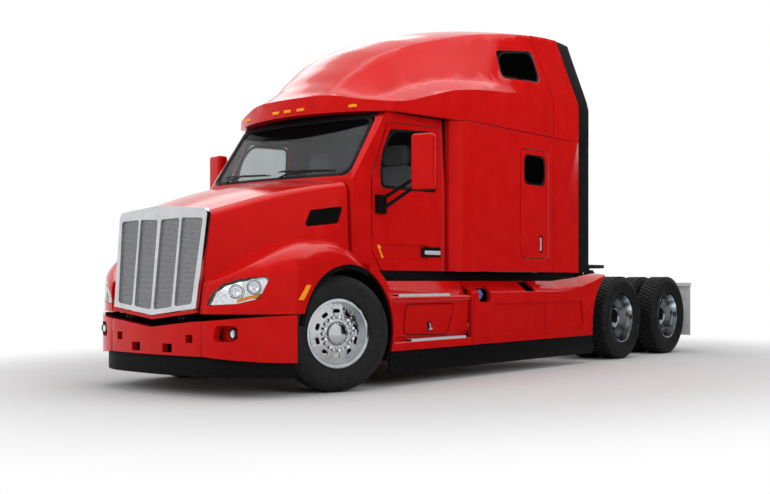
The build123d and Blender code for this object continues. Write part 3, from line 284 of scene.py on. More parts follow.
def frozen(obj):
    # the evaluated shape as a plain mesh, with no modifiers left
    bpy.context.view_layer.update()
    graph = bpy.context.evaluated_depsgraph_get()
    shape = obj.evaluated_get(graph)
    mesh = bpy.data.meshes.new_from_object(shape, preserve_all_data_layers=True, depsgraph=graph)
    obj.modifiers.clear()
    obj.data = mesh


def smoothBy(mesh, degrees):
    mesh.shade_smooth()
    mesh.set_sharp_from_angle(angle=math.radians(degrees))


# Moves that carry some dressed pieces closer to the photographed truck than their solids are. Each takes a
# point's x, its distance from the middle and its height, and gives the new ones.

cabShape = {
    # halves are the width at the back and at the corner, each at the two levels
    "levels": (1.89, 2.56),
    "corner": (-0.30, -0.80),
    "back": -1.60,
    "solidHalf": ((1.050, 0.985), (0.972, 0.900)),
    "half": ((1.050, 1.012), (0.972, 0.955)),
    "glassLevels": (1.925, 2.520),
    "solidGlass": (0.840, 0.775),
    "glass": (0.925, 0.900),
    "glassFrom": (-0.95, -0.80),
    "glassRise": (1.84, 1.92),
}
doorShape = {
    # rows are height and x
    "edge": [(1.94, -0.540), (2.46, -0.800)],
    "solidWindow": [(2.01, -0.605), (2.40, -0.800)],
    "window": [(1.83, -0.675), (2.05, -0.685), (2.24, -0.745), (2.43, -0.870)],
    "still": -1.05,
    "sill": (1.76, 1.82),
    "leastFrame": 0.02,
}
roofShape = {
    # rows are x and rise
    "crown": [(-0.45, 0.0), (-0.75, -0.075), (-1.00, -0.055), (-1.25, 0.0), (-1.60, 0.030), (-2.30, 0.030),
              (-3.00, 0.012), (-3.60, 0.0)],
    "from": (2.64, 2.80),
}
mirrorShape = {"middle": (-0.800, 1.395, 2.060), "from": 1.262, "scale": (0.92, 0.88, 0.97)}
bumperShape = {
    "vee": 0.032,
    "veeHalf": 0.50,
    "veeFrom": (0.57, 0.60),
    "drop": 0.051,
    "dropSpan": (0.62, 1.205),
    "dropBelow": 0.36,
    "holes": [
        # range across, range of heights, old and new middle, widening, drop
        ((0.42, 0.50), (0.49, 0.58), (0.461, 0.465), 1.29, 0.048),
        ((0.15, 0.26), (0.40, 0.49), (0.205, 0.209), 1.25, 0.046),
    ],
}
surroundShape = {"levels": (0.738, 1.525), "post": 0.515, "postLean": 0.050, "widerFoot": 0.023}


def share(value, low, high):
    return min(1.0, max(0.0, (value - low) / (high - low)))


def between(pair, t):
    return pair[0] + (pair[1] - pair[0]) * t


def readOff(rows, value):
    # a value read off a short table of straight runs
    rows = sorted(rows)
    for (a, u), (b, v) in zip(rows, rows[1:]):
        if value <= b:
            return u + (v - u) * share(value, a, b)
    return rows[-1][1]


def cabMove(x, y, z):
    t = share(z, *cabShape["levels"])
    s = share(x, cabShape["back"], between(cabShape["corner"], t))
    solid, half = (between([between(pair, t) for pair in cabShape[k]], s) for k in ("solidHalf", "half"))
    y *= half / solid
    g = share(z, *cabShape["glassLevels"])
    edge, target = between(cabShape["solidGlass"], g) * half / solid, between(cabShape["glass"], g)
    slid = y * target / edge if y <= edge else target + (y - edge) * (half - target) / (half - edge)
    return x, y + (slid - y) * share(x, *cabShape["glassFrom"]) * share(z, *cabShape["glassRise"]), z


def doorMove(x, y, z):
    x, y, z = cabMove(x, y, z)
    edge, window, target = (readOff(doorShape[k], z) for k in ("edge", "solidWindow", "window"))
    still = doorShape["still"]
    if z < doorShape["sill"][0] or edge - window < doorShape["leastFrame"] or not still < x < edge:
        return x, y, z
    fixed = edge if x >= window else still
    slid = fixed + (x - fixed) * (target - fixed) / (window - fixed)
    return x + (slid - x) * share(z, *doorShape["sill"]), y, z


def roofMove(x, y, z):
    return x, y, z + readOff(roofShape["crown"], x) * share(z, *roofShape["from"])


def mirrorMove(x, y, z):
    if y < mirrorShape["from"]:
        return x, y, z
    return tuple(m + (v - m) * s for v, m, s in zip((x, y, z), mirrorShape["middle"], mirrorShape["scale"]))


def bumperMove(x, y, z):
    for (y0, y1), (z0, z1), (old, new), wider, lower in bumperShape["holes"]:
        if y0 < y < y1 and z0 < z < z1:
            return x, new + (y - old) * wider, z - lower
    z -= bumperShape["vee"] * (1 - share(y, 0, bumperShape["veeHalf"])) * share(z, *bumperShape["veeFrom"])
    if z < bumperShape["dropBelow"]:
        z -= bumperShape["drop"] * share(y, *bumperShape["dropSpan"])
    return x, y, z


def surroundMove(x, y, z):
    t = share(z, *surroundShape["levels"])
    if y > surroundShape["post"] + surroundShape["postLean"] * t:
        y += surroundShape["widerFoot"] * (1 - t)
    return x, y, z


moves = {"cab_shell": cabMove, "windscreen": cabMove, "bumper": bumperMove, "grille_surround": surroundMove}
for node in ("roof_cap", "roof_windows", "side_extenders", "extender_edges"):
    moves[node] = roofMove
for side in signOf:
    moves[f"door_{side}"] = moves[f"door_glass_{side}"] = doorMove
    moves[f"mirror_{side}"] = mirrorMove
shapes = {}


def shapeOf(node):
    if node not in shapes:
        mesh = nodes[node].data.copy()
        if node in moves:
            for v in mesh.vertices:
                side = 1 if v.co.y >= 0 else -1
                x, y, z = moves[node](v.co.x - frontAxleX, abs(v.co.y), v.co.z)
                v.co = (ahead(x), side * y, z)
        shapes[node] = mesh
    return shapes[node]


dressing = {"merge": 2e-5, "flat": 0.4, "smooth": 35, "segments": 2}


def dressNode(node, finish, ease):
    mesh = shapeOf(node).copy()
    work = bmesh.new()
    work.from_mesh(mesh)
    bmesh.ops.remove_doubles(work, verts=work.verts, dist=dressing["merge"])
    flat = math.radians(dressing["flat"])
    bmesh.ops.dissolve_limit(work, angle_limit=flat, verts=work.verts, edges=work.edges)
    work.to_mesh(mesh)
    work.free()
    mesh.materials.clear()
    mesh.materials.append(finishes[finish])
    obj = linked(node.replace("_", "") + "Dress", mesh)
    smoothBy(mesh, dressing["smooth"])
    if ease:
        flatPanels = finish == "redPaint"  # painted panels stay flat up to their eased edges
        bevel = obj.modifiers.new("ease", "BEVEL")
        bevel.width = ease
        bevel.segments = dressing["segments"]
        bevel.limit_method = "ANGLE"
        bevel.angle_limit = math.radians(dressing["smooth"])
        bevel.use_clamp_overlap = True
        bevel.harden_normals = flatPanels
        frozen(obj)
        if not flatPanels:
            smoothBy(obj.data, dressing["smooth"])
    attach(obj, bodyOf[node])
    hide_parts(node)
    return obj


# Zones: parts of a CAD piece with a finish of their own. A test takes a face's centre and normal.

zoneEdges = {
    "visorFoot": 2.515,
    "visorBack": -0.85,
    "visorFacing": 0.3,
    "lugTop": 0.670,
    "lugRise": 0.117,
    "frontLamps": 0.9,
    "tailLamps": -6,
    "mirrorArm": 1.274,
    "liningFacing": -0.3,
}


def zoned(obj, rows):
    for look, _ in rows:
        obj.data.materials.append(finishes[look])
    for face in obj.data.polygons:
        for i, (_, test) in enumerate(rows):
            if test(face.center, face.normal):
                face.material_index = i + 1
                break


def turnedIn(x, z):
    # true for a face that looks towards the middle of a cabin
    middle = Vector((ahead(x), 0, z))
    return lambda c, n: n.dot(c - middle) < 0


def within(x, z, halfX, halfZ, low, high):
    return lambda c, n: abs(c.x - ahead(x)) < halfX and abs(c.z - z) < halfZ and low < abs(c.y) < high


def overWindscreen(c, n):
    inPlace = c.x > ahead(zoneEdges["visorBack"]) and c.z > zoneEdges["visorFoot"]
    return inPlace and n.x > zoneEdges["visorFacing"]


# the grille surround below the lip, painted near-black as shade behind the bumper
def lugsInShade(c, n):
    return c.z < zoneEdges["lugTop"] + zoneEdges["lugRise"] * abs(c.y)


def facesIn(c, n):
    return n.y * c.y < zoneEdges["liningFacing"]


zones = {
    "cab_shell": [("blackTrim", overWindscreen), ("cabLining", turnedIn(x=-1.1, z=1.8))],
    "grille_surround": [("darkVoid", lugsInShade)],
    "sleeper_shell": [("cabLining", turnedIn(x=-2.7, z=1.8))],
    "roof_cap": [("cabLining", turnedIn(x=-2.4, z=2.7))],
    "lamps": [
        ("blackTrim", lambda c, n: c.x > ahead(zoneEdges["frontLamps"])),
        ("redLens", lambda c, n: c.x < ahead(zoneEdges["tailLamps"])),
    ],
}
for side in signOf:
    zones[f"door_{side}"] = [
        ("chromePlate", within(x=-1.395, z=1.262, halfX=0.070, halfZ=0.0118, low=1.005, high=1.050)),
        ("blackTrim", within(x=-1.395, z=1.262, halfX=0.0765, halfZ=0.0325, low=0.990, high=1.034)),
        ("cabLining", facesIn),
    ]
    zones[f"sleeper_door_{side}"] = [
        ("blackTrim", within(x=-3.180, z=1.370, halfX=0.0315, halfZ=0.0965, low=1.170, high=1.1985)),
        ("cabLining", facesIn),
    ]
    zones[f"mirror_{side}"] = [("blackPlastic", lambda c, n: abs(c.y) < zoneEdges["mirrorArm"])]

for node, (finish, ease) in dressed.items():
    piece = dressNode(node, finish, ease)
    if node in zones:
        zoned(piece, zones[node])
print("CAD pieces dressed:", len(dressed))


# Small makers shared by the added pieces

axisHole = 0.001  # a turned profile stops this far from its axis
castFrom = 3.0  # how far out a line towards the truck's side or front starts
cornerShare = 0.45  # how much of an edge a rounded corner may take
narrowTop = 0.8  # the top of a closed ribbon, as a share of its foot
boxSegments = 3  # of a small box's eased edge


def addPiece(name, mesh, on, instead=None):
    # rides with the body of the node it sits on, and hides the node it takes the place of
    obj = linked(name, mesh)
    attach(obj, bodyOf[on])
    if instead:
        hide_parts(instead)
    return obj


def meshOf(name, work, *looks, angle=35):
    mesh = bpy.data.meshes.new(name)
    bmesh.ops.recalc_face_normals(work, faces=work.faces)
    work.to_mesh(mesh)
    work.free()
    for look in looks:
        mesh.materials.append(finishes[look])
    smoothBy(mesh, angle)
    return mesh


def skin(work, rings, closed=False, look=0):
    # faces from ring to ring, with a cap at both ends where the rings don't close up
    count = len(rings[0])
    faces = []
    for one, two in zip(rings, rings[1:] + rings[:1] if closed else rings[1:]):
        for k in range(count):
            m = (k + 1) % count
            faces.append(work.faces.new((one[k], one[m], two[m], two[k])))
    if not closed:
        faces += [work.faces.new(rings[0]), work.faces.new(rings[-1][::-1])]
    for face in faces:
        face.material_index = look


def turned(rows, wide):
    # rows of distance along the axis and share of a radius, as a profile
    return [(y, max(axisHole, part * wide)) for y, part in rows]


def lathe(work, profile, steps, place, look=0):
    # profile rows are (y along the axle, radius)
    rings = []
    for k in range(steps):
        turn = 2 * math.pi * k / steps
        c, s = math.cos(turn), math.sin(turn)
        rings.append([work.verts.new(place @ Vector((r * c, y, r * s))) for y, r in profile])
    skin(work, rings, closed=True, look=look)


def boxIn(work, place, size, look=0):
    made = bmesh.ops.create_cube(work, size=1.0, matrix=place @ Matrix.Diagonal((*size, 1)))
    for face in {f for v in made["verts"] for f in v.link_faces}:
        face.material_index = look


def slabIn(work, spans, side=1, look=0):
    # a plain block between two values of x, of y and of z
    x, y, z = ((a + b) / 2 for a, b in spans)
    boxIn(work, Matrix.Translation((ahead(x), side * y, z)), [b - a for a, b in spans], look)


def easedBox(work, place, size, ease, look=0):
    part = bmesh.new()
    bmesh.ops.create_cube(part, size=1.0, matrix=Matrix.Diagonal((*size, 1)))
    bmesh.ops.bevel(part, geom=part.edges[:], offset=ease, segments=boxSegments, affect="EDGES")
    mesh = bpy.data.meshes.new("easedBox")
    part.to_mesh(mesh)
    part.free()
    mesh.transform(place)
    first = len(work.faces)
    work.from_mesh(mesh)
    bpy.data.meshes.remove(mesh)
    work.faces.ensure_lookup_table()
    for face in work.faces[first:]:
        face.material_index = look


def tubeIn(work, path, radius, sides):
    rings = []
    last = len(path) - 1
    for i, point in enumerate(path):
        along = (path[min(i + 1, last)] - path[max(i - 1, 0)]).normalized()
        across = along.cross(Vector((0, 0, 1))).normalized()
        up = across.cross(along)
        turns = [2 * math.pi * k / sides for k in range(sides)]
        spokes = [math.cos(a) * across + math.sin(a) * up for a in turns]
        rings.append([work.verts.new(point + radius * spoke) for spoke in spokes])
    skin(work, rings)


def ribbonIn(work, hits, width, lift, closed=False):
    # a thin strip laid on a surface, from points and the way the surface faces there
    rings = []
    last = len(hits) - 1
    for i, (spot, normal) in enumerate(hits):
        before, after = (i - 1, (i + 1) % len(hits)) if closed else (max(i - 1, 0), min(i + 1, last))
        foot = normal.cross(hits[after][0] - hits[before][0]).normalized() * width / 2
        head = foot * narrowTop if closed else foot
        top, low = spot + normal * lift, spot - normal * lift
        rings.append([work.verts.new(p) for p in (low + foot, top + head, top - head, low - foot)])
    skin(work, rings, closed)


trees = {}


def onNode(node, start, heading):
    # the first point of a CAD piece along a line, with the way that its surface faces
    if node not in trees:
        mesh = shapeOf(node)
        corners = [v.co.copy() for v in mesh.vertices]
        trees[node] = BVHTree.FromPolygons(corners, [p.vertices[:] for p in mesh.polygons])
    spot, normal, _, _ = trees[node].ray_cast(Vector(start), Vector(heading))
    if spot is not None and normal.dot(Vector(heading)) > 0:
        normal = -normal
    return spot, normal


def fromSide(node, x, z, side):
    return onNode(node, (ahead(x), side * castFrom, z), (0, -side, 0))


def frontHit(node, y, z):
    return onNode(node, (ahead(castFrom), y, z), (-1, 0, 0))


def found(hits):
    return [hit for hit in hits if hit[0] is not None]


def roundedLoop(points, radius, steps=5):
    # a closed outline in a plane with its corners rounded
    loop = []
    count = len(points)
    for i, corner in enumerate(points):
        c = Vector(corner)
        a, b = Vector(points[i - 1]) - c, Vector(points[(i + 1) % count]) - c
        reach = min(radius, cornerShare * a.length, cornerShare * b.length)
        start, end = c + a.normalized() * reach, c + b.normalized() * reach
        for k in range(steps + 1):
            t = k / steps
            loop.append((1 - t) ** 2 * start + 2 * t * (1 - t) * c + t * t * end)
    return loop


def evenly(points, step, closed=False):
    # points along a line of straight runs, about a step apart
    points = [Vector(p) for p in points]
    out = []
    for a, b in zip(points, points[1:] + points[:1] if closed else points[1:]):
        count = max(1, round((b - a).length / step))
        out += [a.lerp(b, k / count) for k in range(count)]
    return out if closed else out + [points[-1]]


def nodeTree(name, inputs):
    tree = bpy.data.node_groups.new(name, "GeometryNodeTree")
    tree.interface.new_socket("Geometry", in_out="INPUT", socket_type="NodeSocketGeometry")
    ids = {}
    for label, kind in inputs:
        socket = tree.interface.new_socket(label, in_out="INPUT", socket_type="NodeSocket" + kind)
        ids[label] = socket.identifier
    tree.interface.new_socket("Geometry", in_out="OUTPUT", socket_type="NodeSocketGeometry")
    start, end = tree.nodes.new("NodeGroupInput"), tree.nodes.new("NodeGroupOutput")

    def node(kind, sockets=None, **settings):
        return addNode(tree, kind, sockets, **settings)

    def close(geometry, material):
        real = node("GeometryNodeRealizeInstances", {"Geometry": geometry})
        painted = node("GeometryNodeSetMaterial", {"Geometry": real.outputs[0], "Material": material})
        tree.links.new(painted.outputs[0], end.inputs[0])

    return tree, ids, start.outputs, node, close


def grown(tree, ids, values, base=None):
    # runs a tree on a base mesh and gives back the plain mesh
    mesh = base or bpy.data.meshes.new(tree.name + "Base")
    obj = linked(tree.name + "Maker", mesh)
    mod = obj.modifiers.new(tree.name, "NODES")
    mod.node_group = tree
    for label, value in values.items():
        mod[ids[label]] = value
    frozen(obj)
    made = obj.data
    bpy.data.objects.remove(obj)
    return made


def lineMesh(name, lines):
    # loose edges for a tree to grow along
    mesh = bpy.data.meshes.new(name)
    points = [p for line in lines for p in line]
    mesh.from_pydata(points, [(2 * k, 2 * k + 1) for k in range(len(lines))], [])
    return mesh


# Tyres: a ribbed one in front, and one with blocks on the driven axles

tyreShape = {
    "steps": 112,
    "smooth": 28,
    "half": [
        # y, radius from the bead out to the shoulder
        (0.103, 0.288), (0.103, 0.303), (0.112, 0.309), (0.121, 0.322), (0.1225, 0.324), (0.1315, 0.352),
        (0.1385, 0.382), (0.1418, 0.402), (0.1422, 0.414), (0.1402, 0.432), (0.1412, 0.436), (0.1400, 0.440),
        (0.1352, 0.453), (0.1262, 0.470), (0.1185, 0.4825), (0.1115, 0.4925),
    ],
    "ribbed": [
        (0.1040, 0.5015), (0.0920, 0.5050), (0.0790, 0.5062), (0.0772, 0.4950), (0.0700, 0.4950),
        (0.0682, 0.5074), (0.0310, 0.5092), (0.0292, 0.4965), (0.0220, 0.4965), (0.0202, 0.5096),
        (0.0, 0.5100),
    ],
    "plain": [(0.1060, 0.4960), (0.0, 0.4975)],
    "liner": [(0.0, 0.478), (0.095, 0.470), (0.118, 0.405), (0.090, 0.300)],
    "blocks": 58,
    "rows": ((1.5, 0.0), (0.5, 0.5), (-0.5, 0.0), (-1.5, 0.5)),
    "rowPitch": 0.0535,
    "blockSize": (0.030, 0.038, 0.047),
    "blockRadius": 0.4945,
    "twinShifts": (0.1675, -0.1675),
}


def tyreProfile(crown):
    outer = tyreShape["half"] + tyreShape[crown]
    ring = outer + [(-y, r) for y, r in reversed(outer[:-1])]
    inner = list(reversed(tyreShape["liner"]))
    return ring + [(-y, r) for y, r in inner] + list(reversed(inner[:-1]))


def besideY(mesh):
    # a tree's ring lies about Z, a wheel's about Y
    mesh.transform(Matrix.Rotation(math.radians(-90), 4, "X"))
    return mesh


def treadBlocks():
    tree, ids, size, node, close = nodeTree("treadBlocks", (
        ("Blocks", "Int"), ("Radius", "Float"), ("Row Pitch", "Float"), ("Block Size", "Vector"),
        ("Rubber", "Material")))
    block = node("GeometryNodeMeshCube", {"Size": size["Block Size"]})
    position = node("GeometryNodeInputPosition")
    facing = node("FunctionNodeAlignEulerToVector", {"Vector": position.outputs[0]}, axis="X", pivot_axis="Z")
    join = node("GeometryNodeJoinGeometry")
    for row, phase in tyreShape["rows"]:
        ring = node("GeometryNodeMeshCircle", {"Vertices": size["Blocks"], "Radius": size["Radius"]})
        placed = node("GeometryNodeInstanceOnPoints", {
            "Points": ring.outputs[0], "Instance": block.outputs[0], "Rotation": facing.outputs[0]})
        rise = node("ShaderNodeMath", {0: size["Row Pitch"], 1: row}, operation="MULTIPLY")
        step = node("ShaderNodeMath", {0: 2 * math.pi * phase, 1: size["Blocks"]}, operation="DIVIDE")
        shift = node("ShaderNodeCombineXYZ", {"Z": rise.outputs[0]})
        turn = node("ShaderNodeCombineXYZ", {"Z": step.outputs[0]})
        moved = node("GeometryNodeTransform", {
            "Geometry": placed.outputs[0], "Translation": shift.outputs[0], "Rotation": turn.outputs[0]})
        tree.links.new(moved.outputs[0], join.inputs[0])
    close(join.outputs[0], size["Rubber"])
    return besideY(grown(tree, ids, {
        "Blocks": tyreShape["blocks"], "Radius": tyreShape["blockRadius"], "Row Pitch": tyreShape["rowPitch"],
        "Block Size": tyreShape["blockSize"], "Rubber": finishes["tyreRubber"]}))


def wheelPlace(body):
    # the wheel's centre, with Y turned to point out of the truck
    joint = jointOf[body]
    axis = Vector(joint["axis"]).normalized()
    if axis.y * joint["pos_m"][1] < 0:
        axis = -axis
    turn = Vector((0, 1, 0)).rotation_difference(axis).to_matrix().to_4x4()
    if abs(axis.y + 1) < 1e-4:  # straight to the right, where the shortest turn isn't settled
        turn = Matrix.Rotation(math.pi, 4, "Z")
    return Matrix.Translation(joint["pos_m"]) @ turn


blockRing = treadBlocks()


def tyreMesh(name, body, crown, shifts):
    places = [wheelPlace(body) @ Matrix.Translation((0, shift, 0)) for shift in shifts]
    work = bmesh.new()
    for place in places:
        lathe(work, tyreProfile(crown), tyreShape["steps"], place)
    mesh = meshOf(name, work, "tyreRubber", angle=tyreShape["smooth"])
    if crown == "ribbed":
        return mesh
    work = bmesh.new()
    work.from_mesh(mesh)
    for place in places:
        blocks = blockRing.copy()
        blocks.transform(place)
        work.from_mesh(blocks)
    return meshOf(name, work, "tyreRubber", angle=tyreShape["smooth"])


nutCaps = {
    "count": 10,
    "circle": 0.14288,
    "turn": 18,
    "frontSeat": 0.084,
    "driveSeat": 0.012,
    "height": 0.050,
    "wide": 0.0195,
    "taper": 0.62,
    "facets": 12,
    "smooth": 40,
}


def nutRing():
    tree, ids, size, node, close = nodeTree("nutCaps", (
        ("Count", "Int"), ("Circle", "Float"), ("Height", "Float"), ("Width", "Float"),
        ("Chrome", "Material")))
    top = node("ShaderNodeMath", {0: size["Width"], 1: nutCaps["taper"]}, operation="MULTIPLY")
    cap = node("GeometryNodeMeshCone", {
        "Vertices": nutCaps["facets"], "Radius Top": top.outputs[0], "Radius Bottom": size["Width"],
        "Depth": size["Height"]})
    ring = node("GeometryNodeMeshCircle", {"Vertices": size["Count"], "Radius": size["Circle"]})
    spots = node("GeometryNodeInstanceOnPoints", {"Points": ring.outputs[0], "Instance": cap.outputs[0]})
    close(spots.outputs[0], size["Chrome"])
    mesh = grown(tree, ids, {
        "Count": nutCaps["count"], "Circle": nutCaps["circle"], "Height": nutCaps["height"],
        "Width": nutCaps["wide"], "Chrome": finishes["chromePlate"]})
    mesh.transform(Matrix.Rotation(math.radians(nutCaps["turn"]), 4, "Z"))
    return besideY(mesh)


nutSet = nutRing()


def capsOn(name, node, seat):
    mesh = nutSet.copy()
    mesh.transform(wheelPlace(bodyOf[node]) @ Matrix.Translation((0, seat, 0)))
    smoothBy(mesh, nutCaps["smooth"])
    addPiece(name, mesh, node)


for side in signOf:
    node = f"front_tyre_{side}"
    mesh = tyreMesh(f"ribbedTyre.{side}", bodyOf[node], "ribbed", (0.0,))
    addPiece(f"ribbedTyre.{side}", mesh, node, instead=node)
    capsOn(f"frontNutCaps.{side}", node, nutCaps["frontSeat"])
    for axle in (1, 2):
        node = f"drive_tyres_{axle}_{side}"
        mesh = tyreMesh(f"blockTyres{axle}.{side}", bodyOf[node], "plain", tyreShape["twinShifts"])
        addPiece(f"blockTyres{axle}.{side}", mesh, node, instead=node)
        capsOn(f"driveNutCaps{axle}.{side}", node, nutCaps["driveSeat"])
print("tyres and nut caps made")

# Grille: woven wires, bent to the bowed slab, over the dark sheet of painted shade behind them

grille = {
    "wide": 1.10,
    "footShare": 0.925,
    "low": 0.716,
    "high": 1.512,
    "pitch": 0.0105,
    "wire": 0.0040,
    "setBack": 0.0215,
    "bends": {"Y": (2, 2, 10), "Z": (2, 26, 2)},
}
# x of the slab's front at its foot and how far that leans back, in the middle and at half its width
grilleSlab = {"low": 0.64, "tall": 1.01, "half": 0.64, "middle": (1.195, 0.103), "edge": (1.178, 0.112)}


def slabX(y, z):
    t = (z - grilleSlab["low"]) / grilleSlab["tall"]
    middle, edge = (foot - lean * t for foot, lean in (grilleSlab["middle"], grilleSlab["edge"]))
    return middle - (middle - edge) * (y / grilleSlab["half"]) ** 2


def grilleWires():
    tree, ids, size, node, close = nodeTree("grilleWires", (
        ("Wide", "Float"), ("Tall", "Float"), ("Pitch", "Float"), ("Wire", "Float"), ("Steel", "Material")))
    join = node("GeometryNodeJoinGeometry")
    for span, reach, along, other in (("Wide", "Tall", "Y", "Z"), ("Tall", "Wide", "Z", "Y")):
        count = node("ShaderNodeMath", {0: size[span], 1: size["Pitch"]}, operation="DIVIDE")
        half = node("ShaderNodeMath", {0: size[span], 1: -0.5}, operation="MULTIPLY")
        first = node("ShaderNodeCombineXYZ", {along: half.outputs[0]})
        step = node("ShaderNodeCombineXYZ", {along: size["Pitch"]})
        line = node("GeometryNodeMeshLine", {
            "Count": count.outputs[0], "Start Location": first.outputs[0], "Offset": step.outputs[0]})
        bulk = node("ShaderNodeCombineXYZ", {"X": size["Wire"], along: size["Wire"], other: size[reach]})
        cuts = {"Vertices " + axis: cut for axis, cut in zip("XYZ", grille["bends"][along])}
        bar = node("GeometryNodeMeshCube", {"Size": bulk.outputs[0], **cuts})
        spots = node("GeometryNodeInstanceOnPoints", {"Points": line.outputs[0], "Instance": bar.outputs[0]})
        tree.links.new(spots.outputs[0], join.inputs[0])
    close(join.outputs[0], size["Steel"])
    tall = grille["high"] - grille["low"]
    mesh = grown(tree, ids, {
        "Wide": grille["wide"], "Tall": tall, "Pitch": grille["pitch"], "Wire": grille["wire"],
        "Steel": finishes["meshSteel"]})
    middle = (grille["low"] + grille["high"]) / 2
    for v in mesh.vertices:
        z = v.co.z + middle
        y = v.co.y * between((grille["footShare"], 1), (z - grille["low"]) / tall)
        v.co = (ahead(slabX(y, z)) - grille["setBack"] + v.co.x, y, z)
    return mesh


addPiece("grilleWires", grilleWires(), "grille_mesh")
print("grille wires made")

# Headlamps: reflector plate, two bowls with their lenses, and an amber strip behind each clear lens

headlamp = {
    "facing": 38,
    "castFrom": 2.2,
    # place across the lamp, height and radius
    "bowls": ((0.205, 0.915, 0.062), (0.055, 0.878, 0.060)),
    # distance forward and share of the radius
    "bowl": [(0.012, 1), (-0.012, 0.86), (-0.030, 0.5), (-0.034, 0.1), (-0.038, 0.1), (-0.034, 0.55),
             (-0.016, 0.92), (0.012, 1.07)],
    "lens": [(0.010, 0), (0.007, 0.28), (-0.004, 0.48), (-0.020, 0.5), (-0.026, 0.3), (-0.026, 0)],
    "steps": (32, 24),
    "depth": 0.030,
    "backPlate": 0.052,
    "amber": [(0.055, 0.788), (0.238, 0.832), (0.262, 0.868), (0.075, 0.818)],
    "amberDepth": (0.014, 0.026),
    "smooth": 40,
}


def lampAxes(side):
    # the way a headlamp faces, and the way across it
    turn = math.radians(headlamp["facing"])
    c, s = math.cos(turn), math.sin(turn)
    return Vector((c, side * s, 0)), Vector((-s, side * c, 0))


def lampSpot(side, s, z):
    # the lens surface at a place across the lamp
    facing, across = lampAxes(side)
    start = Vector((frontAxleX, 0, z)) + across * s + facing * headlamp["castFrom"]
    return onNode("headlamps", start, -facing)[0]


def headlampInsides():
    work = bmesh.new()
    for side in bothSides:
        facing, _ = lampAxes(side)
        turn = Vector((0, 1, 0)).rotation_difference(facing).to_matrix().to_4x4()
        for s, z, wide in headlamp["bowls"]:
            place = Matrix.Translation(lampSpot(side, s, z) - facing * headlamp["depth"]) @ turn
            for look, (kind, steps) in enumerate(zip(("bowl", "lens"), headlamp["steps"])):
                lathe(work, turned(headlamp[kind], wide), steps, place, look)
        spots = [lampSpot(side, s, z) for s, z in headlamp["amber"]]
        faces = [[p - facing * deep for p in spots] for deep in headlamp["amberDepth"]]
        skin(work, [[work.verts.new(p) for p in face] for face in faces], look=2)
    looks = ("lampChrome", "projectorGlass", "amberLens")
    return meshOf("headlampInsides", work, *looks, angle=headlamp["smooth"])


def headlampPlate():
    mesh = nodes["headlamps"].data.copy()
    for v in mesh.vertices:
        facing, _ = lampAxes(1 if v.co.y > 0 else -1)
        v.co -= facing * headlamp["backPlate"]
    work = bmesh.new()
    work.from_mesh(mesh)
    bmesh.ops.remove_doubles(work, verts=work.verts, dist=dressing["merge"])
    return meshOf("headlampPlate", work, "lampChrome")


addPiece("headlampInsides", headlampInsides(), "headlamps")
addPiece("headlampPlate", headlampPlate(), "headlamps")

# Fog lamps: a dark ring, a bowl and a clear dome on each lamp body, and the painted back of the recess

fogLamp = {
    "at": (1.040, 0.864, 0.535),
    "radius": 0.040,
    "steps": 40,
    "turned": [
        # the ring, the dome and the bowl: distance forward and share of the radius
        [(0.0, 1), (0.012, 1), (0.016, 0.9), (0.012, 0.8), (0.0, 0.8)],
        [(0.016, 0), (0.014, 0.4), (0.008, 0.79), (0.002, 0.79), (0.002, 0)],
        [(0.0025, 0), (0.0025, 0.79), (-0.025, 0.98), (-0.025, 0)],
    ],
    "recess": ((1.0105, 1.0135), (0.690, 0.925), (0.450, 0.618)),
    "smooth": 40,
}


def fogLamps():
    work = bmesh.new()
    x, y, z = fogLamp["at"]
    for side in bothSides:
        place = Matrix.Translation((ahead(x), side * y, z)) @ Matrix.Rotation(math.radians(-90), 4, "Z")
        for look, rows in enumerate(fogLamp["turned"]):
            lathe(work, turned(rows, fogLamp["radius"]), fogLamp["steps"], place, look)
        slabIn(work, fogLamp["recess"], side, look=3)
    looks = ("blackTrim", "projectorGlass", "lampChrome", "redPaint")
    return meshOf("fogLampFaces", work, *looks, angle=fogLamp["smooth"])


addPiece("fogLampFaces", fogLamps(), "lamps")
print("front lamps made")

# Red lip under the grille, and a near-black sheet behind the bumper, painted shade that closes the view below the
# hood

noseLip = {
    "foot": [(-0.552, 0.733), (0.0, 0.670), (0.552, 0.733)],
    "step": 0.05,
    "gap": 0.001,
    "tall": 0.030,
    "deep": 0.026,
    "setBack": 0.006,
    "ease": 0.004,
    "easeAngle": 1.0,
}
noseShield = [
    # ranges of x, y and z, and the sides that have the sheet
    (((1.004, 1.010), (-0.45, 0.45), (0.345, 0.715)), (1,)),
    (((1.004, 1.010), (0.45, 0.90), (0.345, 0.680)), (1, -1)),
]


def lipMesh():
    work = bmesh.new()
    rings = []
    for y, z in evenly(noseLip["foot"], noseLip["step"]):
        front = slabX(y, z) - noseLip["setBack"]
        top = z - noseLip["gap"]
        back, low = front - noseLip["deep"], top - noseLip["tall"]
        corners = ((front, top), (front, low), (back, low), (back, top))
        rings.append([work.verts.new((ahead(x), y, height)) for x, height in corners])
    skin(work, rings)
    bmesh.ops.recalc_face_normals(work, faces=work.faces)
    sharp = [e for e in work.edges if e.calc_face_angle(0) > noseLip["easeAngle"]]
    bmesh.ops.bevel(
        work, geom=sharp, offset=noseLip["ease"], segments=dressing["segments"], affect="EDGES")
    return meshOf("noseLip", work, "redPaint")


addPiece("noseLip", lipMesh(), "hood")
work = bmesh.new()
for spans, panelSides in noseShield:
    for side in panelSides:
        slabIn(work, spans, side)
addPiece("noseShield", meshOf("noseShield", work, "darkVoid"), "bumper")
print("nose lip and shield made")

# Amber side markers that lie on the paint

markers = {
    "fender": [(0.549, 0.932), (0.496, 0.932), (0.585, 0.809), (0.640, 0.809)],
    "door": [(-0.610, 1.300), (-0.650, 1.296), (-0.711, 1.182), (-0.668, 1.178)],
    "rises": (0.006, -0.002),
    "cuts": (6, 2),
}


